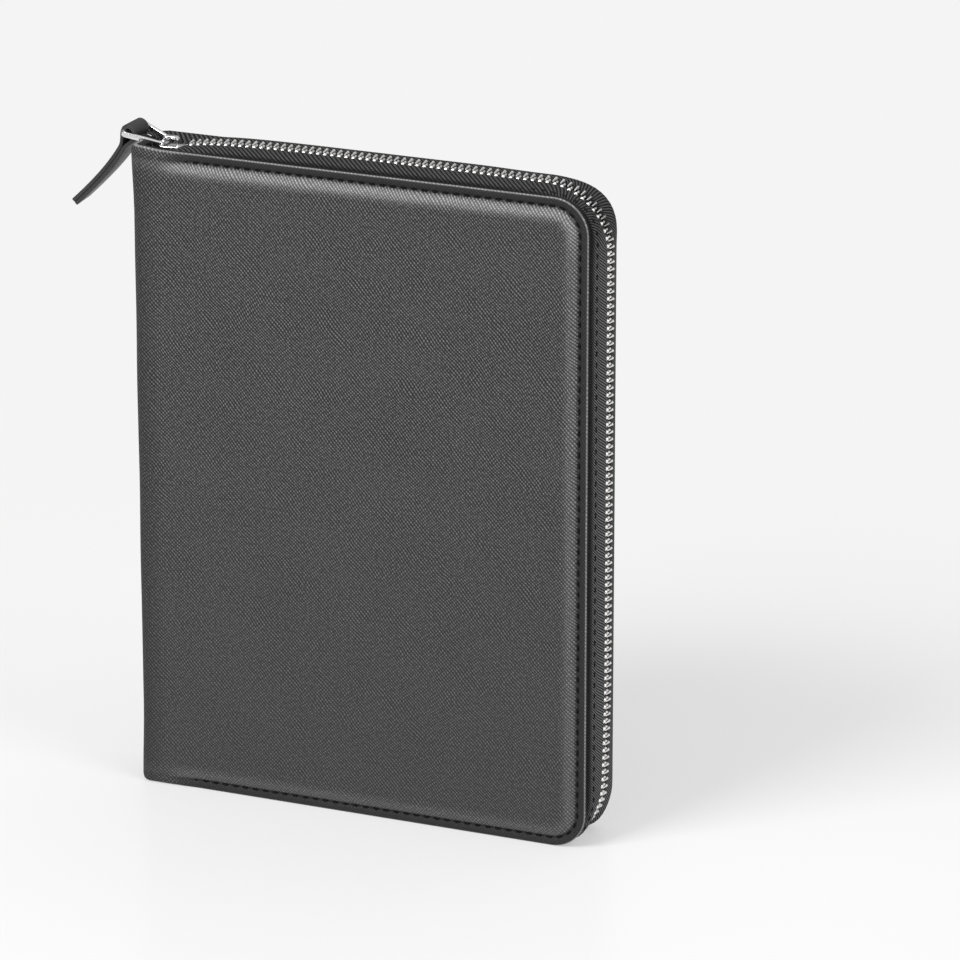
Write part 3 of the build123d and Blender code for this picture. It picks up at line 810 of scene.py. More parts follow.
def edge_distance(x, z, head_radius):
    """How far a point of a cover lies inside its free edges."""
    low = z < MIDDLE
    radius = settings().case.corner_radius if low else head_radius
    across = x - FORE + radius
    up = radius - z if low else z - HEIGHT + radius
    if across > 0 and up > 0:
        return radius - hypot(across, up)
    return min(FORE - x, z, HEIGHT - z)


def rim_height(inset, radius):
    """Height of a rounded edge, reckoned down from the flat beside it."""
    short = max(radius - inset, 0.0)
    return sqrt(max(radius * radius - short * short, 0.0)) - radius


def leather_height(x, inset):
    """Height of the leather above the sewn strip."""
    case = settings().case
    from_line = inset - case.stitch_inset
    groove = max(1 - (2 * from_line / case.channel_width) ** 2, 0.0) * case.channel
    slope = smooth_step(from_line, 0.1 * MM, case.shoulder)
    sewn = rim_height(inset, case.edge_rounding) - groove + case.panel_rise * slope
    plain = case.panel_rise + rim_height(inset, case.edge_rounding + case.panel_rise)
    share = smooth_step(x, sewn_from() - 5 * MM, sewn_from() + 2 * MM)
    crown = case.panel_crown * smooth_step(inset, 4 * MM, 45 * MM) * smooth_step(x, HINGE, HINGE + 40 * MM)
    return plain + (sewn - plain) * share + crown


def unrolled(place):
    """A front cover's place on its leather laid flat: across from the hinge, and up."""
    if place.x >= HINGE:
        return Vector((place.x, place.z))
    if place.y < -SPINE_HALF:
        turn = atan2(HINGE - place.x, -place.y - SPINE_HALF)
        return Vector((HINGE - FOLD_RADIUS * turn, place.z))
    return Vector((HINGE - FOLD_RADIUS * pi / 2 - (place.y + SPINE_HALF), place.z))


def cover_outline(bm, inset, head_radius, segments=14):
    """One flat face in a cover's outline, with spare past the hinge."""
    spare = HINGE - 30 * MM
    right = FORE - inset
    corners = [(spare, inset), (right, inset), (right, HEIGHT - inset), (spare, HEIGHT - inset)]
    verts = [bm.verts.new((x, 0, z)) for x, z in corners]
    bm.faces.new(verts)
    for vert, radius in ((verts[1], settings().case.corner_radius), (verts[2], head_radius)):
        rounded(bm, [vert], radius - inset, segments)
    return bm.faces[:][0]


def everything(bm):
    """All of a mesh's verts, edges and faces."""
    return bm.verts[:] + bm.edges[:] + bm.faces[:]


def cut_across(bm, normal, places):
    """Cuts new edges where planes cross the mesh."""
    for place in places:
        bmesh.ops.bisect_plane(
            bm, geom=everything(bm), dist=1e-6, plane_co=Vector(normal) * place, plane_no=normal
        )


def cut_at_hinge(bm):
    """Takes away what lies past the hinge, and gives the edges of the cut."""
    bmesh.ops.bisect_plane(
        bm, geom=everything(bm), dist=1e-7, plane_co=(HINGE, 0, 0), plane_no=(1, 0, 0), clear_inner=True
    )
    return [e for e in bm.edges if all(abs(v.co.x - HINGE) < 1e-6 for v in e.verts)]


def steps_between(low, high, step):
    """Evenly spaced places inside a range."""
    count = max(round((high - low) / step), 1)
    return [low + (high - low) * i / count for i in range(1, count)]


def inset_steps(case):
    """Distances from the edge where the leather's section bends."""
    turns = [case.edge_rounding * (1 - cos(pi / 2 * i / 5)) for i in range(1, 6)]
    half = case.channel_width / 2
    groove = [case.stitch_inset + half * share for share in (-1.0, -0.6, -0.2, 0.2, 0.6, 1.0)]
    slope = [case.stitch_inset + half + case.shoulder * share for share in (0.1, 0.3, 0.5, 0.75, 1.0, 1.4)]
    return turns + [0.95 * MM] + groove + slope


def panel_sheet(head_radius):
    """A cover's leather laid flat, cut where its section bends and into squares."""
    bm = bmesh.new()
    face = cover_outline(bm, 0.0, head_radius)
    reached = 0.0
    for inset in inset_steps(settings().case):
        bmesh.ops.inset_region(
            bm, faces=[face], thickness=inset - reached, use_even_offset=True, use_boundary=True
        )
        reached = inset
    cut_across(bm, (1, 0, 0), steps_between(HINGE, FORE, 6 * MM))
    cut_across(bm, (0, 0, 1), steps_between(0, HEIGHT, 6 * MM))
    bm.verts.layers.float_vector.new("grain")
    for name in ("relief", "rim_highlight", "shoulder_highlight", "turned_in"):
        bm.verts.layers.float.new(name)
    return bm


def raise_panel(bm, head_radius):
    """Raises the padded panel, and notes its embossing and its painted highlights on shoulder and rim."""
    case = settings().case
    layers = bm.verts.layers.float
    relief, rim_highlight, shoulder_highlight = layers["relief"], layers["rim_highlight"], layers["shoulder_highlight"]
    strip = FACE - case.panel_rise
    start = sewn_from()
    for vert in bm.verts:
        x, z = vert.co.x, vert.co.z
        inset = max(edge_distance(x, z, head_radius), 0.0)
        waver = noise.noise(Vector((x, z, 0)) * 22) * 0.12 * MM * smooth_step(inset, 4 * MM, 20 * MM)
        vert.co.y = -strip - leather_height(x, inset) - waver * smooth_step(x, HINGE, 30 * MM)
        on_panel = smooth_step(inset, case.stitch_inset, case.stitch_inset + 0.8 * MM)
        vert[relief] = max(on_panel, 1 - smooth_step(x, start - 6 * MM, start))
        # Where the rounded rim gets its painted highlight
        vert[rim_highlight] = 1 - smooth_step(inset, 0.15 * MM, 0.5 * MM)
        # Painted highlight on the shoulder's slope, stronger towards the head and gone beside the spine
        sloping = inset - case.stitch_inset
        wear_and_highlight = smooth_step(sloping, 0.2 * MM, 1.6 * MM) * (1 - smooth_step(sloping, 2.4 * MM, 6.0 * MM))
        wear_and_highlight *= 0.42 + 0.58 * smooth_step(z, HEIGHT - 22 * MM, HEIGHT - 9 * MM)
        vert[shoulder_highlight] = wear_and_highlight * smooth_step(x, start - 12 * MM, start)


def turn_in_edges(bm):
    """Turns the leather's free edges in over the board, less deep beside the spine."""
    layers = bm.verts.layers.float
    relief, rim_highlight, turned_in = layers["relief"], layers["rim_highlight"], layers["turned_in"]
    edges = [e for e in bm.edges if e.is_boundary]
    for depth in (0.3 * MM, None):
        verts, edges = boundary(bmesh.ops.extrude_edge_only(bm, edges=edges)["geom"])
        for vert in verts:
            near_spine = 1 - smooth_step(vert.co.x, HINGE, sewn_from())
            foot = -WALL_FOOT - near_spine * (FACE - (SPINE_IN - SPINE_OUT) - WALL_FOOT)
            vert.co.y = vert.co.y + depth if depth else foot
            vert[relief] = -1.0
            vert[rim_highlight] = 0.0
            vert[turned_in] = 0.0 if depth else 1.0


def carry_round_fold(bm, over_spine):
    """Carries the leather round the fold and, if asked, over the whole spine."""
    hinge = cut_at_hinge(bm)
    turned = bmesh.ops.spin(
        bm, geom=hinge, cent=(HINGE, -SPINE_HALF, 0), axis=(0, 0, 1), angle=-pi / 2, steps=10
    )["geom_last"]
    edges = [e for e in turned if isinstance(e, bmesh.types.BMEdge)]
    for _ in range(8 if over_spine else 0):
        verts, edges = boundary(bmesh.ops.extrude_edge_only(bm, edges=edges)["geom"])
        bmesh.ops.translate(bm, vec=(0, SPINE_HALF / 4, 0), verts=verts)
    face_towards(bm, (0, -1, 0))


def swell_at_spine(bm, head_rise):
    """Lays the grain along the leather, eases it at the fold and swells the leather at the spine."""
    case = settings().case
    grain = bm.verts.layers.float_vector["grain"]
    relief = bm.verts.layers.float["relief"]
    turned_in = bm.verts.layers.float["turned_in"]
    for vert in bm.verts:
        flat = unrolled(vert.co)
        vert[grain] = (flat.x, flat.y, 0)
        stretched = exp(-(((flat.x - HINGE + 1.5 * MM) / (3.5 * MM)) ** 2))
        if vert[relief] > 0:
            vert[relief] *= 1 - 0.6 * stretched
        at_head = smooth_step(vert.co.z, HEIGHT - 25 * MM, HEIGHT)
        at_foot = 1 - smooth_step(vert.co.z, 0, 30 * MM)
        beside_spine = 1 - smooth_step(flat.x, HINGE - 2 * MM, HINGE + 8 * MM)
        on_spine = 1 - smooth_step(-flat.x, 2 * MM, 22 * MM)
        vert.co.z += head_rise * at_head * beside_spine * on_spine
        swell = case.spine_swell + case.spine_flare * (at_head + at_foot)
        wave = 0.25 * MM * noise.noise(Vector((3, 0, vert.co.z * 30)))
        swell = (swell + wave) * (1 - vert[turned_in])
        vert.co.x -= swell * (1 - smooth_step(flat.x, HINGE - 4 * MM, HINGE + 10 * MM))


def cover_skin(head_radius, head_rise, over_spine):
    """A front cover's leather, with its fold and if asked the whole spine, as one outer surface."""
    bm = panel_sheet(head_radius)
    raise_panel(bm, head_radius)
    turn_in_edges(bm)
    carry_round_fold(bm, over_spine)
    swell_at_spine(bm, head_rise)
    return bm


def cover_board(head_radius):
    """The front cover's stiffener, clear of the fold."""
    case = settings().case
    low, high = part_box("front_cover_board")
    outer = case.panel_rise + case.channel + case.leather - FACE
    bm = bmesh.new()
    cover_outline(bm, 1.1 * MM, head_radius)
    cut_at_hinge(bm)
    bmesh.ops.translate(bm, vec=(0, outer, 0), verts=bm.verts)
    for vert in bm.verts:
        vert.co.x = max(vert.co.x, low.x + 0.6 * MM)
    raise_faces(bm, (0, high.y - outer, 0))
    bmesh.ops.recalc_face_normals(bm, faces=bm.faces)
    return bm


class PADFOLIO_OT_covers(Operator):
    """Makes the embossed leather of both covers, their folds and the spine"""

    bl_idname = "padfolio.covers"
    bl_label = "Cover leather"

    def execute(self, context):
        case = settings().case
        shapes = {
            "front": (case.corner_radius, case.head_rise, True),
            "back": (case.back_head_radius, 0.0, False),
        }
        for side, shape in shapes.items():
            bm = cover_skin(*shape)
            stiffener = cover_board(shape[0])
            if side == "back":
                flip_to_back(bm)
                flip_to_back(stiffener)
            skin = new_piece(bm, f"{side}_leather", "cross_grain_leather", sharp=50)
            thicken(skin, case.leather * 0.9, -1)
            way = SIDES[side]
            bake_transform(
                skin,
                f"{side}_cover",
                "spine",
                start=(HINGE, way * FACE, MIDDLE),
                end=(SPINE_OUT, way * SPINE_HALF, MIDDLE),
            )
            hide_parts(f"{side}_cover_leather", f"{side}_cover_padding", f"{side}_fold")
            if side == "front":
                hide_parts("spine_leather")
            board = new_piece(stiffener, f"{side}_board", "flecked_board")
            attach(board, f"{side}_cover")
            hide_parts(f"{side}_cover_board")
        dress("spine_board", "flecked_board")
        return {"FINISHED"}


def stitch_shape(pitch, width):
    """One stitch lying along X: thick in its middle and diving at both ends."""
    half = 0.36 * pitch
    sections = []
    for share in (-1.0, -0.72, -0.3, 0.3, 0.72, 1.0):
        full = sqrt(max(1 - 0.85 * share * share, 0.0))
        sections.append((share * half, width / 2 * full, width / 2 * full))
    bar = rounded_bar(sections, 6)
    for vert in bar.verts:
        vert.co.z -= width * 0.5 * (vert.co.y / half) ** 2
    bmesh.ops.rotate(bar, cent=(0, 0, 0), matrix=Matrix.Rotation(-pi / 2, 3, "Z"), verts=bar.verts)
    return bar


def stitch_row(bm, route, depth, way, pitch, width):
    """Stitches along a route on a face that looks along Y."""
    run = route_length(route)
    count = int(run / pitch)
    upright = Matrix(((1, 0, 0, 0), (0, 0, way, 0), (0, -way, 0, 0), (0, 0, 0, 1)))
    slant = Matrix.Rotation(radians(5), 4, "Z")
    places = [
        route_frame(route, (i + 0.5) * run / count, depth) @ upright @ slant for i in range(count)
    ]
    copies(bm, stitch_shape(pitch, width), places)


def cover_stitch_route():
    """The stitching's route round a cover's three free edges."""
    case = settings().case
    inset = case.stitch_inset
    start = sewn_from()
    corners = [
        Vector((start, HEIGHT - inset)),
        Vector((FORE - inset, HEIGHT - inset)),
        Vector((FORE - inset, inset)),
        Vector((start, inset)),
    ]
    return route_pieces(corners, [case.corner_radius - inset] * 2)


class PADFOLIO_OT_stitching(Operator):
    """Sews both covers along their free edges"""

    bl_idname = "padfolio.stitching"
    bl_label = "Cover stitching"

    def execute(self, context):
        case = settings().case
        depth = FACE - case.panel_rise - case.channel + 0.2 * case.stitch_width
        for side, way in SIDES.items():
            bm = bmesh.new()
            stitch_row(bm, cover_stitch_route(), way * depth, way, case.stitch_pitch, case.stitch_width)
            row = new_piece(bm, f"{side}_stitching", "sewing_thread")
            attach(row, f"{side}_cover")
        return {"FINISHED"}


def lining_sheet(head_radius):
    """The front cover's lining, carried round the fold to the middle of the spine."""
    bm = bmesh.new()
    cover_outline(bm, 0.6 * MM, head_radius)
    cut_across(bm, (1, 0, 0), steps_between(HINGE, HINGE + 12 * MM, 2 * MM))
    cut_across(bm, (0, 0, 1), steps_between(0, HEIGHT, 12 * MM))
    bmesh.ops.translate(bm, vec=(0, -INNER_FACE, 0), verts=bm.verts)
    edges = cut_at_hinge(bm)
    inner = [(SPINE_IN + 0.4 * MM, -INNER_FACE + 0.3 * MM), (SPINE_IN, -INNER_FACE + 1.2 * MM)]
    inner += [(SPINE_IN, -INNER_FACE * share) for share in (0.7, 0.4, 0.0)]
    here = Vector((HINGE, -INNER_FACE))
    for there in map(Vector, inner):
        verts, edges = boundary(bmesh.ops.extrude_edge_only(bm, edges=edges)["geom"])
        bmesh.ops.translate(bm, vec=(*(there - here), 0), verts=verts)
        here = there
    face_towards(bm, (0, 1, 0))
    return bm


class PADFOLIO_OT_linings(Operator):
    """Lines both covers and the spine with cloth"""

    bl_idname = "padfolio.linings"
    bl_label = "Linings"

    def execute(self, context):
        case = settings().case
        for side, way in SIDES.items():
            bm = lining_sheet(case.corner_radius if side == "front" else case.back_head_radius)
            if side == "back":
                flip_to_back(bm)
            lining = new_piece(bm, f"{side}_lining", "woven_lining")
            thicken(lining, 0.4 * MM, -1)
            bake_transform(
                lining,
                f"{side}_cover",
                "spine",
                start=(HINGE + 5 * MM, way * INNER_FACE, MIDDLE),
                end=(SPINE_IN, way * (INNER_FACE - 5 * MM), MIDDLE),
            )
            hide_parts(f"{side}_cover_lining", "spine_lining")
        return {"FINISHED"}


# Zip

# Half the tape's thickness, and ways across it from its inner edge
TAPE_HALF = 0.3 * MM
TAPE_FLAT = 6.4 * MM
TAPE_SEAM = 9.9 * MM
TAPE_EDGE = 14.3 * MM

# The chain's route: radii of its two corners, then its places across and up
HEAD_ARC = 23 * MM
FOOT_ARC = 17.5 * MM
CHAIN_START = TAPE_LOW.x
CHAIN_HEAD = HEIGHT - 2.9 * MM
CHAIN_TOP = HEIGHT + 1.9 * MM
CHAIN_FORE = TAPE_HIGH.x - 0.1 * MM
CHAIN_FOOT = TAPE_LOW.z + TAPE_HALF
CHAIN_END = HINGE + 8 * MM
CHAIN_ROUTE = route_pieces(
    [
        Vector((CHAIN_START, CHAIN_HEAD)),
        Vector((CHAIN_FORE, CHAIN_TOP)),
        Vector((CHAIN_FORE, CHAIN_FOOT)),
        Vector((CHAIN_END, CHAIN_FOOT)),
    ],
    [HEAD_ARC, FOOT_ARC],
)
TOP_RUN = CHAIN_ROUTE[0][2]
HEAD_TURN = CHAIN_ROUTE[1][2]
FOOT_CORNER = sum(piece[2] for piece in CHAIN_ROUTE[:3])
FOOT_TURN = CHAIN_ROUTE[3][2]


def chain_frame(distance):
    """Frame of the zip, which climbs from the slider to the head's level and sags at the foot's corner."""
    sizes = settings().zip
    climb = sizes.rise * (1 - exp(-max(distance - 4 * MM, 0.0) / (11 * MM)))
    straight = (CHAIN_TOP - CHAIN_HEAD) * distance / (CHAIN_FORE - CHAIN_START)
    lift = (climb - straight) * (1 - smooth_step(distance, TOP_RUN - 28 * MM, TOP_RUN + 16 * MM))
    return route_frame(CHAIN_ROUTE, distance, lift=lift - foot_lean(distance))


def tape_profile(way):
    """The tape's section from the teeth down to the cover, as (across, out)."""
    foot = TAPE_HIGH.y - TAPE_HALF
    crown = settings().zip.crown if way > 0 else 0.0
    points = [
        (1.0 * MM, 0.0),
        (2.0 * MM, 0.08 * MM),
        (3.2 * MM, 0.1 * MM),
        (4.6 * MM, 0.15 * MM + 0.6 * crown),
        (6.0 * MM, 0.15 * MM + crown),
        (7.4 * MM, 0.1 * MM + crown),
        (8.3 * MM, crown - 0.2 * MM),
        (8.8 * MM, -0.9 * MM),
        (foot, -2.2 * MM),
        (foot, -4.6 * MM),
        (foot, -7.0 * MM),
    ]
    return [(way * y, n) for y, n in points]


def chain_bow(distance):
    """Sideways bow of the chain towards the back cover, none at the slider and at the zip's end."""
    sizes = settings().zip
    begun = smooth_step(distance, 14 * MM, 60 * MM)
    turned = smooth_step(distance, TOP_RUN - 15 * MM, TOP_RUN + HEAD_TURN)
    ended = smooth_step(distance, FOOT_CORNER - 45 * MM, FOOT_CORNER + 0.6 * FOOT_TURN)
    return (sizes.head_bow * begun + (sizes.fore_bow - sizes.head_bow) * turned) * (1 - ended)


def weave_across(reached):
    """Way across the tape for its weave, drawn in over the flat so that the ribs slant evenly."""
    return 0.7 * min(reached, TAPE_FLAT) + max(reached - TAPE_FLAT, 0.0)


def foot_lean(distance):
    """Inward sag of the chain where it turns along the foot."""
    past = (distance - FOOT_CORNER - 6 * MM) / (7 * MM)
    return settings().zip.lean * exp(-past * past)


def tape_lift(distance, way):
    """Rise of the tape's outer edge: at the covers' tighter corners, and at the back beside the slider."""
    sizes = settings().zip
    head_turn = min(max((distance - TOP_RUN) / HEAD_TURN, 0.0), 1.0)
    foot_turn = min(max((distance - FOOT_CORNER) / FOOT_TURN, 0.0), 1.0)
    lift = sizes.spread * sin(pi * head_turn**1.2) ** 2 + sizes.foot_spread * sin(pi * foot_turn**1.6) ** 2
    if way > 0 and distance < TOP_RUN:
        lift += max(HEIGHT + 0.9 * MM - chain_frame(distance).translation.z, 0.0)
    return lift + foot_lean(distance)


def spread_tape(bm, way):
    """Lifts the tape's outer edge to its cover, and bows its inner edge with the chain."""
    along = bm.verts.layers.float["along"]
    across = bm.verts.layers.float["across"]
    for vert in bm.verts:
        place = chain_frame(vert[along])
        out = Vector((place[0][2], 0, place[2][2]))
        vert.co += out * tape_lift(vert[along], way) * smooth_step(vert[across], 1.5 * MM, 6.0 * MM)
        bow = chain_bow(vert[along])
        vert.co.y += bow * (1 - smooth_step(vert[across], 1.5 * MM, 7.0 * MM))
        if way < 0:
            # The bow draws the front tape out of its seam
            vert.co += out * bow * smooth_step(vert[across], TAPE_SEAM, TAPE_EDGE)


def lay_weave(bm, way):
    """Notes each vertex's way across for the weave, mirrored on the back tape."""
    across = bm.verts.layers.float["across"]
    for vert in bm.verts:
        reached = weave_across(vert[across])
        vert[across] = settings().zip.chevron - reached if way > 0 else reached


def tape_stitches(whole, pitch, way):
    """Frames of the stitches that hold a tape to its cover."""
    places = []
    for sew in range(5, int(whole / pitch) - 2):
        spot = sew * pitch
        level = 1 - smooth_step(spot, TOP_RUN - 15 * MM, TOP_RUN + 5 * MM)
        out = tape_lift(spot, way) - (0.15 + 0.9 * level) * MM
        sewn = Matrix.Translation((0, way * (8.45 + 0.35 * level) * MM, out))
        places.append(chain_frame(spot) @ sewn)
    return places


def tape_end(way):
    """The tape's free end, which stands up over the spine's head."""
    # Across from the spine, and up from the covers' head
    middles = [(4.2, -2.4), (3.0, -1.6), (1.7, -0.3), (0.4, 0.8), (-1.2, 1.4), (-3.0, 1.7)]
    path = [Vector((x * MM, HEIGHT + up * MM)) for x, up in middles]
    bm = bent_strip(path, 2.3 * MM, TAPE_HALF, 0.15 * MM)
    bmesh.ops.translate(bm, vec=(0, way * 3.1 * MM, 0), verts=bm.verts)
    return bm


class PADFOLIO_OT_tapes(Operator):
    """Weaves the two halves of the zip tape and sews them in"""

    bl_idname = "padfolio.tapes"
    bl_label = "Zip tapes"

    def execute(self, context):
        whole = route_length(CHAIN_ROUTE)
        pitch = settings().case.stitch_pitch
        steps = 260
        distances = [whole * i / steps for i in range(steps + 1)]
        frames = [chain_frame(distance) for distance in distances]
        for side, way in SIDES.items():
            bm = bmesh.new()
            sweep(bm, tape_profile(way), frames, distances)
            spread_tape(bm, way)
            lay_weave(bm, way)
            bmesh.ops.recalc_face_normals(bm, faces=bm.faces)
            tape = new_piece(bm, f"{side}_tape", "herringbone_tape", sharp=60)
            thicken(tape, settings().zip.tape, 0, even=False)
            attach(tape, f"{side}_cover")
            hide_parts(f"{side}_zip_tape")
            end = new_piece(tape_end(way), f"{side}_tape_end", "herringbone_tape", sharp=60)
            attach(end, f"{side}_cover")
            bm = bmesh.new()
            copies(bm, stitch_shape(pitch, 0.7 * MM), tape_stitches(whole, pitch, way))
            row = new_piece(bm, f"{side}_tape_stitching", "sewing_thread")
            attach(row, f"{side}_cover")
        return {"FINISHED"}


def tooth_shape(way):
    """One metal tooth: rounded legs, a narrow waist and a rounded head. The back ones are slimmer."""
    slim = 0.9 if way > 0 else 1.08
    head = 0.62 if way > 0 else 1.0
    sections = [
        (3.1, slim * 0.22, slim * 0.35),
        (2.95, slim * 0.52, slim * 0.65),
        (2.5, slim * 0.68, slim * 0.98),
        (2.05, slim * 0.52, slim * 0.85),
        (1.6, 0.38, 0.72),
        (0.9, 0.36, 0.66),
        (0.3, head * 0.44, head * 0.76),
        (-0.3, head * 0.46, head * 0.76),
        (-0.75, head * 0.24, head * 0.4),
    ]
    return rounded_bar([Vector(section) * MM for section in sections], 8)


def teeth_along(first, last, offset, way):
    """Matrices of the teeth on one tape between two distances."""
    sizes = settings().zip
    distance = sizes.first_tooth + offset
    turned = Matrix.Rotation(pi, 4, "Z") if way < 0 else Matrix.Identity(4)
    placed = []
    while distance < last - sizes.tooth_pitch / 2:
        if distance >= first:
            level = 1 - smooth_step(distance, TOP_RUN, TOP_RUN + HEAD_TURN)
            lift = sizes.back_lift * level if way > 0 else 0.0
            raised = Matrix.Translation((0, chain_bow(distance), lift))
            placed.append(chain_frame(distance) @ raised @ turned)
        distance += sizes.tooth_pitch
    return placed


class PADFOLIO_OT_teeth(Operator):
    """Crimps the metal teeth on both tapes"""

    bl_idname = "padfolio.teeth"
    bl_label = "Zip teeth"

    def execute(self, context):
        half_pitch = settings().zip.tooth_pitch / 2
        stretches = {"top": (0.0, TOP_RUN), "round": (TOP_RUN - half_pitch, route_length(CHAIN_ROUTE))}
        for side, way in SIDES.items():
            offset = half_pitch if way < 0 else 0.0
            for name, (first, last) in stretches.items():
                bm = bmesh.new()
                copies(bm, tooth_shape(way), teeth_along(first, last, offset, way))
                teeth = new_piece(bm, f"{side}_{name}_teeth", "plated_teeth", sharp=50)
                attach(teeth, f"{side}_cover")
                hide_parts(f"{side}_teeth_{name}")
        return {"FINISHED"}


class PADFOLIO_OT_zip_ends(Operator):
    """Finishes the stops and the end tab of the zip"""

    bl_idname = "padfolio.zip_ends"
    bl_label = "Zip ends"

    def execute(self, context):
        for node in ("front_zip_stop", "back_zip_stop", "zip_foot_stop"):
            eased_copy(node, 0.15 * MM, "plated_teeth")
        eased_copy("zip_end_tab", 0.15 * MM, "woven_binding")
        return {"FINISHED"}


def soft_block(bm, outline, low, high, corner, ease):
    """A plate with rounded corners and eased edges, from a flat outline."""
    plate = bmesh.new()
    plate.faces.new([plate.verts.new((x, y, low)) for x, y in outline])
    if corner:
        rounded(plate, plate.verts[:], corner, 5)
    raise_faces(plate, (0, 0, high - low))
    flat = [e for e in plate.edges if abs(e.verts[0].co.z - e.verts[1].co.z) < 1e-7]
    rounded(plate, flat, ease, 3, affect="EDGES")
    bmesh.ops.recalc_face_normals(plate, faces=plate.faces)
    copies(bm, plate, [Matrix.Identity(4)])


def slider_frame():
    """Frame at the slider's middle, with X along its slide."""
    low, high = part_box("slider_body")
    along = Vector(JOINTS["slider_travel"]["axis"])
    return lying_frame(Vector((low.x + high.x, low.z + high.z)) / 2, Vector((along.x, along.z)))


def slider_shell():
    """Two waisted plates, their lips and the wedge that parts the teeth."""
    low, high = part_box("slider_body")
    half = (high.x - low.x) / 2
    mouth = (high.y - low.y) / 2
    throat = mouth - 0.75 * MM
    outer = (high.z - low.z) / 2 - 0.12 * MM
    inner = outer - 0.85 * MM
    waist = [(-half, -mouth), (-half + 3.6 * MM, -mouth), (half, -throat), (half, throat)]
    waist += [(-half + 3.6 * MM, mouth), (-half, mouth)]
    bm = bmesh.new()
    for way in (-1, 1):
        levels = sorted((way * inner, way * outer))
        soft_block(bm, waist, *levels, 1.2 * MM, 0.26 * MM)
        lip = sorted((way * 0.6 * MM, way * (inner + 0.1 * MM)))
        for side in (-1, 1):
            wide, narrow = side * (mouth - 0.4 * MM), side * (throat - 0.1 * MM)
            edge = [(-half + 4.4 * MM, wide), (half - 0.4 * MM, narrow)]
            edge += [(x, y - side * 0.8 * MM) for x, y in reversed(edge)]
            soft_block(bm, edge, *lip, 0.0, 0.15 * MM)
    wedge = [(-half + 0.8 * MM, -1.2 * MM), (-half + 4.0 * MM, 0.0), (-half + 0.8 * MM, 1.2 * MM)]
    soft_block(bm, wedge, -inner, inner, 0.3 * MM, 0.1 * MM)
    bmesh.ops.transform(bm, matrix=slider_frame(), verts=bm.verts)
    bmesh.ops.recalc_face_normals(bm, faces=bm.faces)
    return bm


def bent_strip(path, half_width, half_thickness, soft):
    """A flat strip with eased edges, bent along a path in the upright plane."""
    frames = []
    distances = [0.0]
    for i, place in enumerate(path):
        before = path[max(i - 1, 0)]
        after = path[min(i + 1, len(path) - 1)]
        frames.append(lying_frame(place, (after - before).normalized()))
        if i:
            distances.append(distances[-1] + (place - before).length)
    profile = eased_section(half_width, half_thickness, soft)
    bm = bmesh.new()
    for end in sweep(bm, profile, frames, distances, closed=True):
        bmesh.ops.contextual_create(bm, geom=end)
    bmesh.ops.recalc_face_normals(bm, faces=bm.faces)
    return bm


def eased_section(half_width, half_thickness, soft):
    """The outline of a flat bar with rounded corners."""
    profile = []
    for y, n, turn in ((1, 1, 0), (-1, 1, 1), (-1, -1, 2), (1, -1, 3)):
        for i in range(4):
            angle = pi / 2 * (turn + i / 3)
            across = y * (half_width - soft) + soft * cos(angle)
            profile.append((across, n * (half_thickness - soft) + soft * sin(angle)))
    return profile


def bridge_piece():
    """The arch on the slider that holds the ring."""
    low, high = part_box("slider_bridge")
    half = 0.45 * MM
    left, right, top = low.x + half, high.x - half, high.z - half
    turn = 1.2 * MM
    bend = [pi / 2 * i / 6 for i in range(7)]
    path = [Vector((left, low.z))]
    path += [Vector((left + turn - turn * cos(a), top - turn + turn * sin(a))) for a in bend]
    path += [Vector((right - turn + turn * sin(a), top - turn + turn * cos(a))) for a in bend]
    path.append(Vector((right, low.z)))
    return bent_strip(path, (high.y - low.y) / 2, half, 0.25 * MM)


class PADFOLIO_OT_slider(Operator):
    """Makes the slider and its bridge"""

    bl_idname = "padfolio.slider"
    bl_label = "Slider"

    def execute(self, context):
        for bm, name, node in (
            (slider_shell(), "slider_shell", "slider_body"),
            (bridge_piece(), "slider_arch", "slider_bridge"),
        ):
            piece = new_piece(bm, name, "plated_slider", sharp=45)
            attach(piece, "slider")
            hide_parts(node)
        return {"FINISHED"}


# Corners of the ring's wire from its two pivots, as the pull lies a little askew
RING_NEAR = (Vector((-0.75, -4.2, -0.2)) * MM, Vector((-0.45, 2.8, -0.2)) * MM)
RING_FAR = (Vector((-2.1, -6.0, -1.2)) * MM, Vector((0.4, 5.5, 0.0)) * MM)


def ring_piece():
    """A flat wire bent into a long loop, deeper at the strap."""
    corners = [RING_PIVOT + RING_NEAR[0], STRAP_PIVOT + RING_FAR[0], STRAP_PIVOT + RING_FAR[1]]
    corners.append(RING_PIVOT + RING_NEAR[1])
    bm = bmesh.new()
    bm.faces.new([bm.verts.new(corner) for corner in corners])
    bm.normal_update()
    upright = bm.faces[:][0].normal.copy()
    upright *= 1 if upright.z > 0 else -1
    rounded(bm, bm.verts[:], 1.4 * MM, 8)
    path = [loop.vert.co.copy() for loop in bm.faces[:][0].loops]
    bm.free()
    frames = []
    count = len(path)
    reach = STRAP_PIVOT - RING_PIVOT
    for i in range(count + 1):
        here = path[i % count]
        along = (path[(i + 1) % count] - path[(i - 1) % count]).normalized()
        side = upright.cross(along).normalized()
        out = along.cross(side)
        share = min(max((here - RING_PIVOT).dot(reach) / reach.length_squared, 0.0), 1.0)
        turned = Matrix((along, side, out)).transposed().to_4x4()
        deeper = Matrix.Diagonal((1, 1, 1 + 0.35 * share, 1))
        frames.append(Matrix.Translation(here) @ turned @ deeper)
    bm = bmesh.new()
    sweep(bm, eased_section(0.72 * MM, 0.75 * MM, 0.3 * MM), frames, closed=True)
    bmesh.ops.remove_doubles(bm, verts=bm.verts, dist=1e-6)
    bmesh.ops.recalc_face_normals(bm, faces=bm.faces)
    return bm


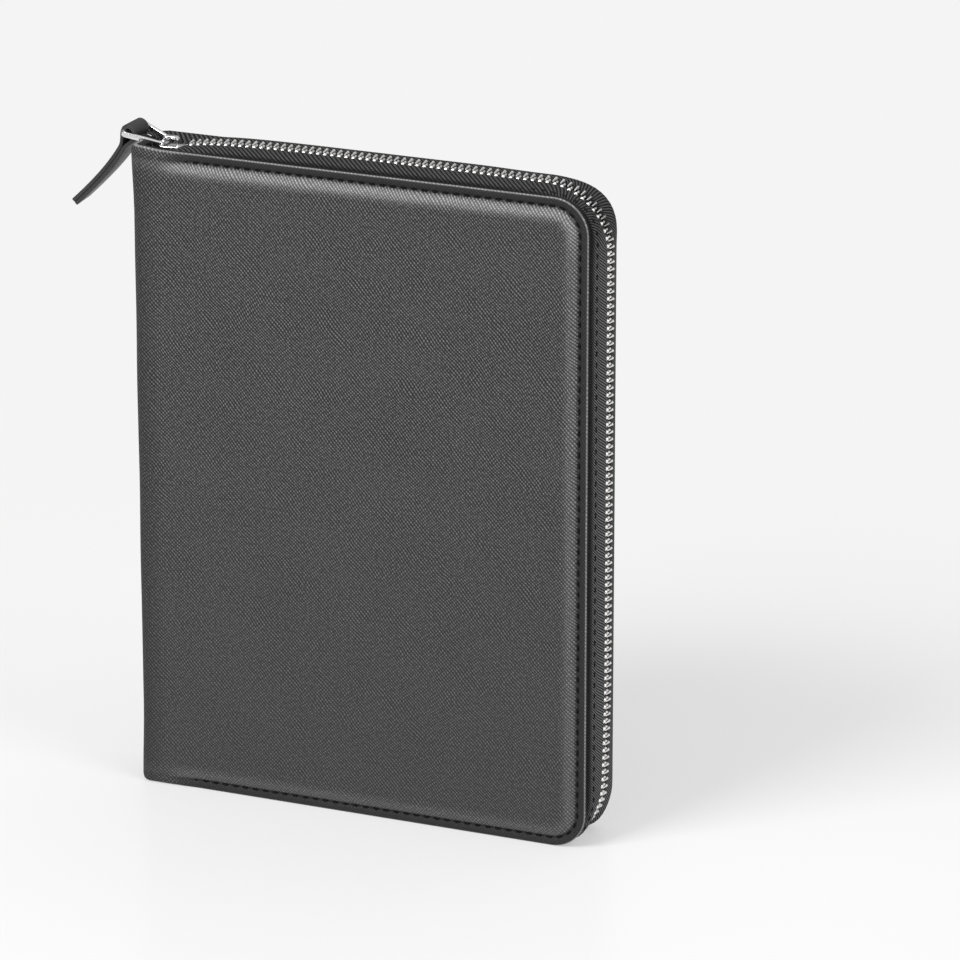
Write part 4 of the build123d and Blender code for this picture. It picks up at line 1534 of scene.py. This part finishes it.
def strap_middle(share):
    """Point and heading on the strap's middle line, from the ring's bar to the tip."""
    pivot = Vector((STRAP_PIVOT.x, STRAP_PIVOT.z))
    bend = pivot + Vector((-5.1, -11.0)) * MM
    tip = pivot + Vector((-27.8, -30.6)) * MM
    place = pivot * (1 - share) ** 2 + bend * 2 * share * (1 - share) + tip * share * share
    return place, ((bend - pivot) * (1 - share) + (tip - bend) * share).normalized()


def strap_path():
    """Middle of the strap's strip: up the outer ply, round the ring's bar and down the inner one."""
    pivot = Vector((STRAP_PIVOT.x, STRAP_PIVOT.z))
    loop_radius = 2.5 * MM
    parting = 0.73 * MM
    outer = []
    inner = []
    for i in range(25):
        share = 1 - i / 24
        place, along = strap_middle(share)
        side = Vector((along.y, -along.x))
        gap = parting + (loop_radius - parting) * (1 - smooth_step(share, 0.03, 0.25))
        outer.append(place + side * gap)
        inner.append(place - side * gap)
    start = (outer[-1] - pivot).normalized()
    turns = [-pi * i / 12 for i in range(1, 12)]
    around = [pivot + loop_radius * (Matrix.Rotation(turn, 2) @ start) for turn in turns]
    return outer + around + inner[::-1]


def strap_piece():
    """A leather strip folded round the ring's far bar, square to that bar and twisted towards its tip."""
    bm = bent_strip(strap_path(), 4.2 * MM, 0.72 * MM, 0.35 * MM)
    steps = [(i / 40, *strap_middle(i / 40)) for i in range(41)]
    for vert in bm.verts:
        flat = Vector((vert.co.x, vert.co.z))
        share, place, along = min(steps, key=lambda step: (step[1] - flat).length_squared)
        middle = Vector((place.x, 0, place.y))
        twist = radians(-5) * smooth_step(share, 0.1, 0.9)
        vert.co = middle + Matrix.Rotation(twist, 3, Vector((along.x, 0, along.y))) @ (vert.co - middle)
    bar = RING_FAR[1] - RING_FAR[0]
    askew = Matrix.Rotation(-atan2(bar.x, bar.y), 4, "Z") @ Matrix.Rotation(atan2(bar.z, bar.y), 4, "X")
    middle = STRAP_PIVOT + (RING_FAR[0] + RING_FAR[1]) / 2 + Vector((1.1, 0, -0.5)) * MM
    place = Matrix.Translation(middle) @ askew @ Matrix.Translation(-STRAP_PIVOT)
    bmesh.ops.transform(bm, matrix=place, verts=bm.verts)
    return bm


class PADFOLIO_OT_pull(Operator):
    """Makes the slider's ring and leather strap"""

    bl_idname = "padfolio.pull"
    bl_label = "Pull"

    def execute(self, context):
        ring = new_piece(ring_piece(), "ring", "plated_slider", sharp=60)
        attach(ring, "pull_ring")
        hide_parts("pull_ring")
        strap = new_piece(strap_piece(), "strap", "smooth_leather", sharp=60)
        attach(strap, "pull_strap")
        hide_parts("pull_strap")
        return {"FINISHED"}


# Inside

def leaf_stack():
    """The writing pad's leaves in bundles, flush at the head and a little uneven at the other edges."""
    low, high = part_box("pad_sheets")
    bundles = 20
    ease = 0.3 * MM
    thickness = (high.y - low.y) / bundles
    bm = bmesh.new()
    for i in range(bundles):
        slip = noise.noise_vector(Vector((i * 1.37, 0.4, 2.1))) * ease
        start = Vector((low.x + ease + slip.x, low.y + thickness * i, low.z + ease + slip.z))
        end = Vector((high.x - ease + slip.x, low.y + thickness * (i + 0.94), high.z))
        made = bmesh.ops.create_cube(bm, size=1.0)["verts"]
        size = Matrix.Diagonal((*(end - start), 1))
        bmesh.ops.transform(bm, matrix=Matrix.Translation((start + end) / 2) @ size, verts=made)
    return bm


def binding_strip():
    """The cloth glued over the pad's head, down its first leaf and back to the card."""
    low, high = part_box("pad_binding")
    turn = 0.6 * MM
    front, top = low.y, high.z
    profile = [(front, low.z), (front, (low.z + top) / 2), (front, top - turn)]
    for i in range(1, 5):
        angle = pi / 2 * i / 4
        profile.append((front + turn * (1 - cos(angle)), top - turn * (1 - sin(angle))))
    profile += [((front + high.y) / 2, top), (high.y, top)]
    bm = bmesh.new()
    across = (low.x, *steps_between(low.x, high.x, 10 * MM), high.x)
    sweep(bm, profile, [Matrix.Translation((x, 0, 0)) for x in across])
    face_towards(bm, (0, 0, 1))
    return bm


def sewn_panel(low, high, corner, margin, level, dip=0.0):
    """A leather panel on the back cover, sewn to the lining on three sides and open at its upper edge."""
    sewn = INNER_FACE - 0.8 * MM
    spare = high.y + 20 * MM
    bm = bmesh.new()
    outline = [(low.x, low.y), (high.x, low.y), (high.x, spare), (low.x, spare)]
    verts = [bm.verts.new((x, sewn, z)) for x, z in outline]
    bm.faces.new(verts)
    rounded(bm, verts[:2], corner, 6)
    face = bm.faces[:][0]
    for step, share in ((margin, 0.0), (0.35 * MM, 0.25), (0.35 * MM, 0.75), (0.35 * MM, 1.0)):
        bmesh.ops.inset_region(bm, faces=[face], thickness=step, use_even_offset=True, use_boundary=True)
        for vert in face.verts:
            vert.co.y = sewn + (level - sewn) * share
    bmesh.ops.bisect_plane(
        bm,
        geom=everything(bm),
        dist=1e-6,
        plane_co=(0, 0, high.y),
        plane_no=(0, 0, 1),
        clear_outer=True,
    )
    cut_across(bm, (1, 0, 0), steps_between(low.x + 6 * MM, high.x - 6 * MM, 8 * MM))
    cut_across(bm, (0, 0, 1), steps_between(low.y + 6 * MM, high.y, 8 * MM))
    middle, half = (low.x + high.x) / 2, (high.x - low.x) / 2
    for vert in bm.verts:
        raised = (sewn - vert.co.y) / (sewn - level) if sewn > level else 0.0
        slack = noise.noise(Vector((vert.co.x, vert.co.z, level)) * 30)
        vert.co.y -= 0.15 * MM * raised * slack
        lowered = dip * (1 - ((vert.co.x - middle) / half) ** 2)
        vert.co.z -= lowered * smooth_step(vert.co.z, low.y, high.y)
    face_towards(bm, (0, -1, 0))
    return bm


def place_panel(name, side, node, bm, thickness):
    """Puts a leather panel, made for the back cover, on one of the covers."""
    if side == "front":
        flip_to_back(bm)
    panel = new_piece(bm, name, "smooth_leather", sharp=50)
    thicken(panel, thickness, -1)
    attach(panel, f"{side}_cover")
    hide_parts(node)


def sew_panels(name, side, rows):
    """Sews panels down along routes of (corners, corner radius, distance from the middle plane)."""
    inside = settings().inside
    way = -SIDES[side]
    bm = bmesh.new()
    for corners, radius, level in rows:
        route = route_pieces([Vector(corner) for corner in corners], [radius] * (len(corners) - 2))
        stitch_row(bm, route, -way * level, way, inside.stitch_pitch, inside.thread)
    row = new_piece(bm, name, "sewing_thread")
    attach(row, f"{side}_cover")


def pen_band():
    """An elastic band round a pen, flat where it is sewn to the lining."""
    low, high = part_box("pen_loop")
    radius = (high.x - low.x) / 2 - 0.3 * MM
    middle = Vector(((low.x + high.x) / 2, (low.y + high.y) / 2))
    frames = []
    for i in range(49):
        turn = 2 * pi * i / 48
        place = middle + radius * Vector((cos(turn), sin(turn)))
        along = Matrix.Rotation(turn + pi / 2, 3, "Z") @ Vector((1, 0, 0))
        out = Vector((cos(turn), sin(turn), 0))
        stand = Matrix((along, Vector((0, 0, 1)), out)).transposed().to_4x4()
        place = Vector((place.x, min(place.y, INNER_FACE - 0.45 * MM), (low.z + high.z) / 2))
        frames.append(Matrix.Translation(place) @ stand)
    half = (high.z - low.z) / 2
    bm = bmesh.new()
    shares = (-1, -0.9, -0.5, 0, 0.5, 0.9, 1)
    profile = [(half * share, 0.12 * MM * (1 - share * share)) for share in shares]
    sweep(bm, profile, frames)
    bmesh.ops.remove_doubles(bm, verts=bm.verts, dist=1e-6)
    bmesh.ops.recalc_face_normals(bm, faces=bm.faces)
    return bm, (2 * half, 2 * pi * radius)


class PADFOLIO_OT_pad(Operator):
    """Makes the writing pad, with its leaves, card and bound head"""

    bl_idname = "padfolio.pad"
    bl_label = "Writing pad"

    def execute(self, context):
        leaves = new_piece(leaf_stack(), "pad_leaves", "ruled_paper")
        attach(leaves, "back_cover")
        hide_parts("pad_sheets")
        eased_copy("pad_card", 0.2 * MM, "flecked_board")
        binding = new_piece(binding_strip(), "pad_head", "woven_binding")
        thicken(binding, 0.3 * MM, -1)
        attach(binding, "back_cover")
        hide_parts("pad_binding")
        return {"FINISHED"}


class PADFOLIO_OT_pockets(Operator):
    """Makes the pad's pocket, the document pocket and the card slots, and sews them to the linings"""

    bl_idname = "padfolio.pockets"
    bl_label = "Pockets"

    def execute(self, context):
        for side, node, grown, corner, margin, dip in (
            ("back", "pad_pocket", 2.0 * MM, 5 * MM, 1.9 * MM, 0.0),
            ("front", "document_pocket", 0.0, 6 * MM, 2.6 * MM, 8 * MM),
        ):
            box_low, box_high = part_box(node)
            low = Vector((box_low.x - grown, box_low.z - grown))
            high = Vector((box_high.x + grown, box_high.z))
            level = min(abs(box_low.y), abs(box_high.y))
            bm = sewn_panel(low, high, corner, margin, level, dip)
            place_panel(f"{node}_panel", side, node, bm, 0.7 * MM)
            inset = margin / 2
            left, right, foot = low.x + inset, high.x - inset, low.y + inset
            route = [(right, high.y - 2 * MM), (right, foot), (left, foot), (left, high.y - 2 * MM)]
            sew_panels(f"{node}_stitching", side, [(route, corner - inset, INNER_FACE - 0.85 * MM)])
        self.card_slots()
        return {"FINISHED"}

    def card_slots(self):
        """Three stepped leather strips, each open at its upper edge."""
        box_low, box_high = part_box("card_slots")
        strip = 0.7 * MM
        step = 14 * MM
        inset = 1.6 * MM
        left, right, foot = box_low.x + inset, box_high.x - inset, box_low.z + inset
        rows = []
        for i in range(3):
            low = Vector((box_low.x, box_low.z))
            high = Vector((box_high.x, box_high.z - step * i))
            level = INNER_FACE - strip * (i + 1)
            bm = sewn_panel(low, high, 2 * MM, 1 * MM, level)
            for vert in bm.verts:
                vert.co.y = level
            place_panel(f"card_slot_{i + 1}", "front", "card_slots", bm, 0.6 * MM)
            hem = [(right, high.y - inset), (left, high.y - inset)]
            rows.append((hem, 0.0, level))
            top = high.y - 2 * inset
            if i < 2:
                end = high.y - step + inset
                rows += [([(x, top), (x, end)], 0.0, level) for x in (left, right)]
            else:
                sides = [(right, top), (right, foot), (left, foot), (left, top)]
                rows.append((sides, 1 * MM, level))
        sew_panels("card_slot_stitching", "front", rows)


class PADFOLIO_OT_pen_loop(Operator):
    """Makes the elastic pen loop"""

    bl_idname = "padfolio.pen_loop"
    bl_label = "Pen loop"

    def execute(self, context):
        bm, size = pen_band()
        band = new_piece(bm, "pen_band", "ribbed_elastic", sharp=60)
        thicken(band, 0.6 * MM, 0)
        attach(band, "back_cover")
        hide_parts("pen_loop")
        return {"FINISHED"}


# Stage

CAMERA_PLACE = Vector((0.9093, -1.8610, 0.8351))
CAMERA_BACK = Vector((0.36634, -0.87002, 0.32998))
CAMERA_LENS = 227.8
LAMP_AIM = Vector((0.085, 0.0, 0.12))


def lamp(name, place, size, energy):
    """A square soft lamp that faces the case."""
    data = bpy.data.lights.new(name, "AREA")
    data.size = size
    data.energy = energy
    lamp_object = bpy.data.objects.new(name, data)
    bpy.context.scene.collection.objects.link(lamp_object)
    lamp_object.location = place
    lamp_object.rotation_euler = (LAMP_AIM - Vector(place)).to_track_quat("-Z", "Y").to_euler()


def floor_material():
    """Pale floor with a faint gloss, seen as an even pale field away from the object."""
    made, tree, shader = new_material("pale_floor", Roughness=0.2, Specular_IOR_Level=0.25)
    tint = settings().stage.floor
    place = object_place(tree)
    patches = soft_wear(tree, place, 2.0)
    tone = shades(tree, patches["Value"], tint, 0.99)
    tree.links.new(tone, shader.inputs["Base Color"])
    path = add_node(tree, "ShaderNodeLightPath").outputs
    bent = maths(tree, "ADD", path["Is Glossy Ray"], path["Is Transmission Ray"])
    seen = maths(tree, "ADD", path["Is Camera Ray"], bent)
    from_case = add_node(tree, "ShaderNodeVectorMath", {0: place, 1: (0.1, 0.0, 0.0)}, operation="DISTANCE")
    far = eased(tree, from_case.outputs["Value"], 0.16, 0.5)
    evened = maths(tree, "MULTIPLY_ADD", far, 0.55, 0.45)
    share = maths(tree, "MULTIPLY", maths(tree, "MINIMUM", seen, 1.0), evened)
    field = add_node(tree, "ShaderNodeEmission", {"Color": opaque(settings().stage.field)})
    blend = add_node(tree, "ShaderNodeMixShader", {0: share})
    tree.links.new(shader.outputs[0], blend.inputs[1])
    tree.links.new(field.outputs[0], blend.inputs[2])
    tree.links.new(blend.outputs[0], tree.nodes["Material Output"].inputs["Surface"])
    return made


def lay_floor(scene):
    """A wide plain floor under the case."""
    bm = bmesh.new()
    bmesh.ops.create_grid(bm, x_segments=1, y_segments=1, size=12.0)
    mesh = bpy.data.meshes.new("floor")
    bm.to_mesh(mesh)
    bm.free()
    mesh.materials.append(floor_material())
    floor = bpy.data.objects.new("floor", mesh)
    scene.collection.objects.link(floor)


def set_sky(scene):
    """Light from all round, brighter overhead and darker on the spine's side."""
    stage = settings().stage
    world = bpy.data.worlds.new("studio")
    world.use_nodes = True
    tree = world.node_tree
    sky = tree.nodes["Background"]
    sky.inputs["Strength"].default_value = stage.sky
    sight = add_node(tree, "ShaderNodeTexCoord").outputs["Generated"]
    towards = add_node(tree, "ShaderNodeSeparateXYZ", {0: sight}).outputs
    overhead = eased(tree, towards[2], 0.05, 0.8)
    dome = mixed(tree, overhead, opaque(stage.horizon), opaque(stage.zenith))
    shaded_side = opaque([0.3 * c for c in stage.horizon])
    dome = mixed(tree, eased(tree, towards[0], -0.95, -0.15), shaded_side, dome)
    tree.links.new(dome, sky.inputs["Color"])
    scene.world = world


def stand_camera(scene):
    """The camera, as fitted to the photo."""
    data = bpy.data.cameras.new("camera")
    data.sensor_width = 36.0
    data.lens = CAMERA_LENS
    data.clip_end = 100.0
    camera = bpy.data.objects.new("camera", data)
    scene.collection.objects.link(camera)
    camera.location = CAMERA_PLACE
    camera.rotation_euler = (-CAMERA_BACK).to_track_quat("-Z", "Y").to_euler()
    scene.camera = camera


class PADFOLIO_OT_stage(Operator):
    """Sets the floor, the light and the camera"""

    bl_idname = "padfolio.stage"
    bl_label = "Stage"

    def execute(self, context):
        stage = settings().stage
        lay_floor(context.scene)
        lamp("key", (-1.0, -1.9, 2.1), 1.3, stage.key)
        lamp("side", (1.9, -0.6, 1.5), 1.0, stage.side)
        set_sky(context.scene)
        context.scene.view_settings.view_transform = "Standard"
        stand_camera(context.scene)
        return {"FINISHED"}


class PADFOLIO_PT_panel(Panel):
    """The padfolio's pieces and settings"""

    bl_idname = "PADFOLIO_PT_panel"
    bl_label = "Padfolio"
    bl_space_type = "VIEW_3D"
    bl_region_type = "UI"
    bl_category = "Padfolio"

    def draw(self, context):
        for operator in OPERATORS:
            self.layout.operator(operator.bl_idname)
        for group in ("case", "zip", "inside", "colours", "stage"):
            box = self.layout.box()
            box.label(text=group.capitalize())
            values = getattr(context.scene.padfolio, group)
            for name in values.__annotations__:
                box.prop(values, name)


GROUPS = (PadfolioCase, PadfolioZip, PadfolioInside, PadfolioColours, PadfolioStage, PadfolioSettings)
OPERATORS = (
    PADFOLIO_OT_stage,
    PADFOLIO_OT_covers,
    PADFOLIO_OT_stitching,
    PADFOLIO_OT_linings,
    PADFOLIO_OT_tapes,
    PADFOLIO_OT_teeth,
    PADFOLIO_OT_zip_ends,
    PADFOLIO_OT_slider,
    PADFOLIO_OT_pull,
    PADFOLIO_OT_pad,
    PADFOLIO_OT_pockets,
    PADFOLIO_OT_pen_loop,
)


def register():
    """Adds the classes and the scene's settings."""
    for item in (*GROUPS, *OPERATORS, PADFOLIO_PT_panel):
        bpy.utils.register_class(item)
    bpy.types.Scene.padfolio = PointerProperty(type=PadfolioSettings)


def unregister():
    """Takes the settings and the classes away."""
    del bpy.types.Scene.padfolio
    for item in reversed((*GROUPS, *OPERATORS, PADFOLIO_PT_panel)):
        bpy.utils.unregister_class(item)


def main():
    """Builds every piece."""
    register()
    for operator in OPERATORS:
        _, name = operator.bl_idname.split(".")
        getattr(bpy.ops.padfolio, name)()


if __name__ == "__main__":
    main()
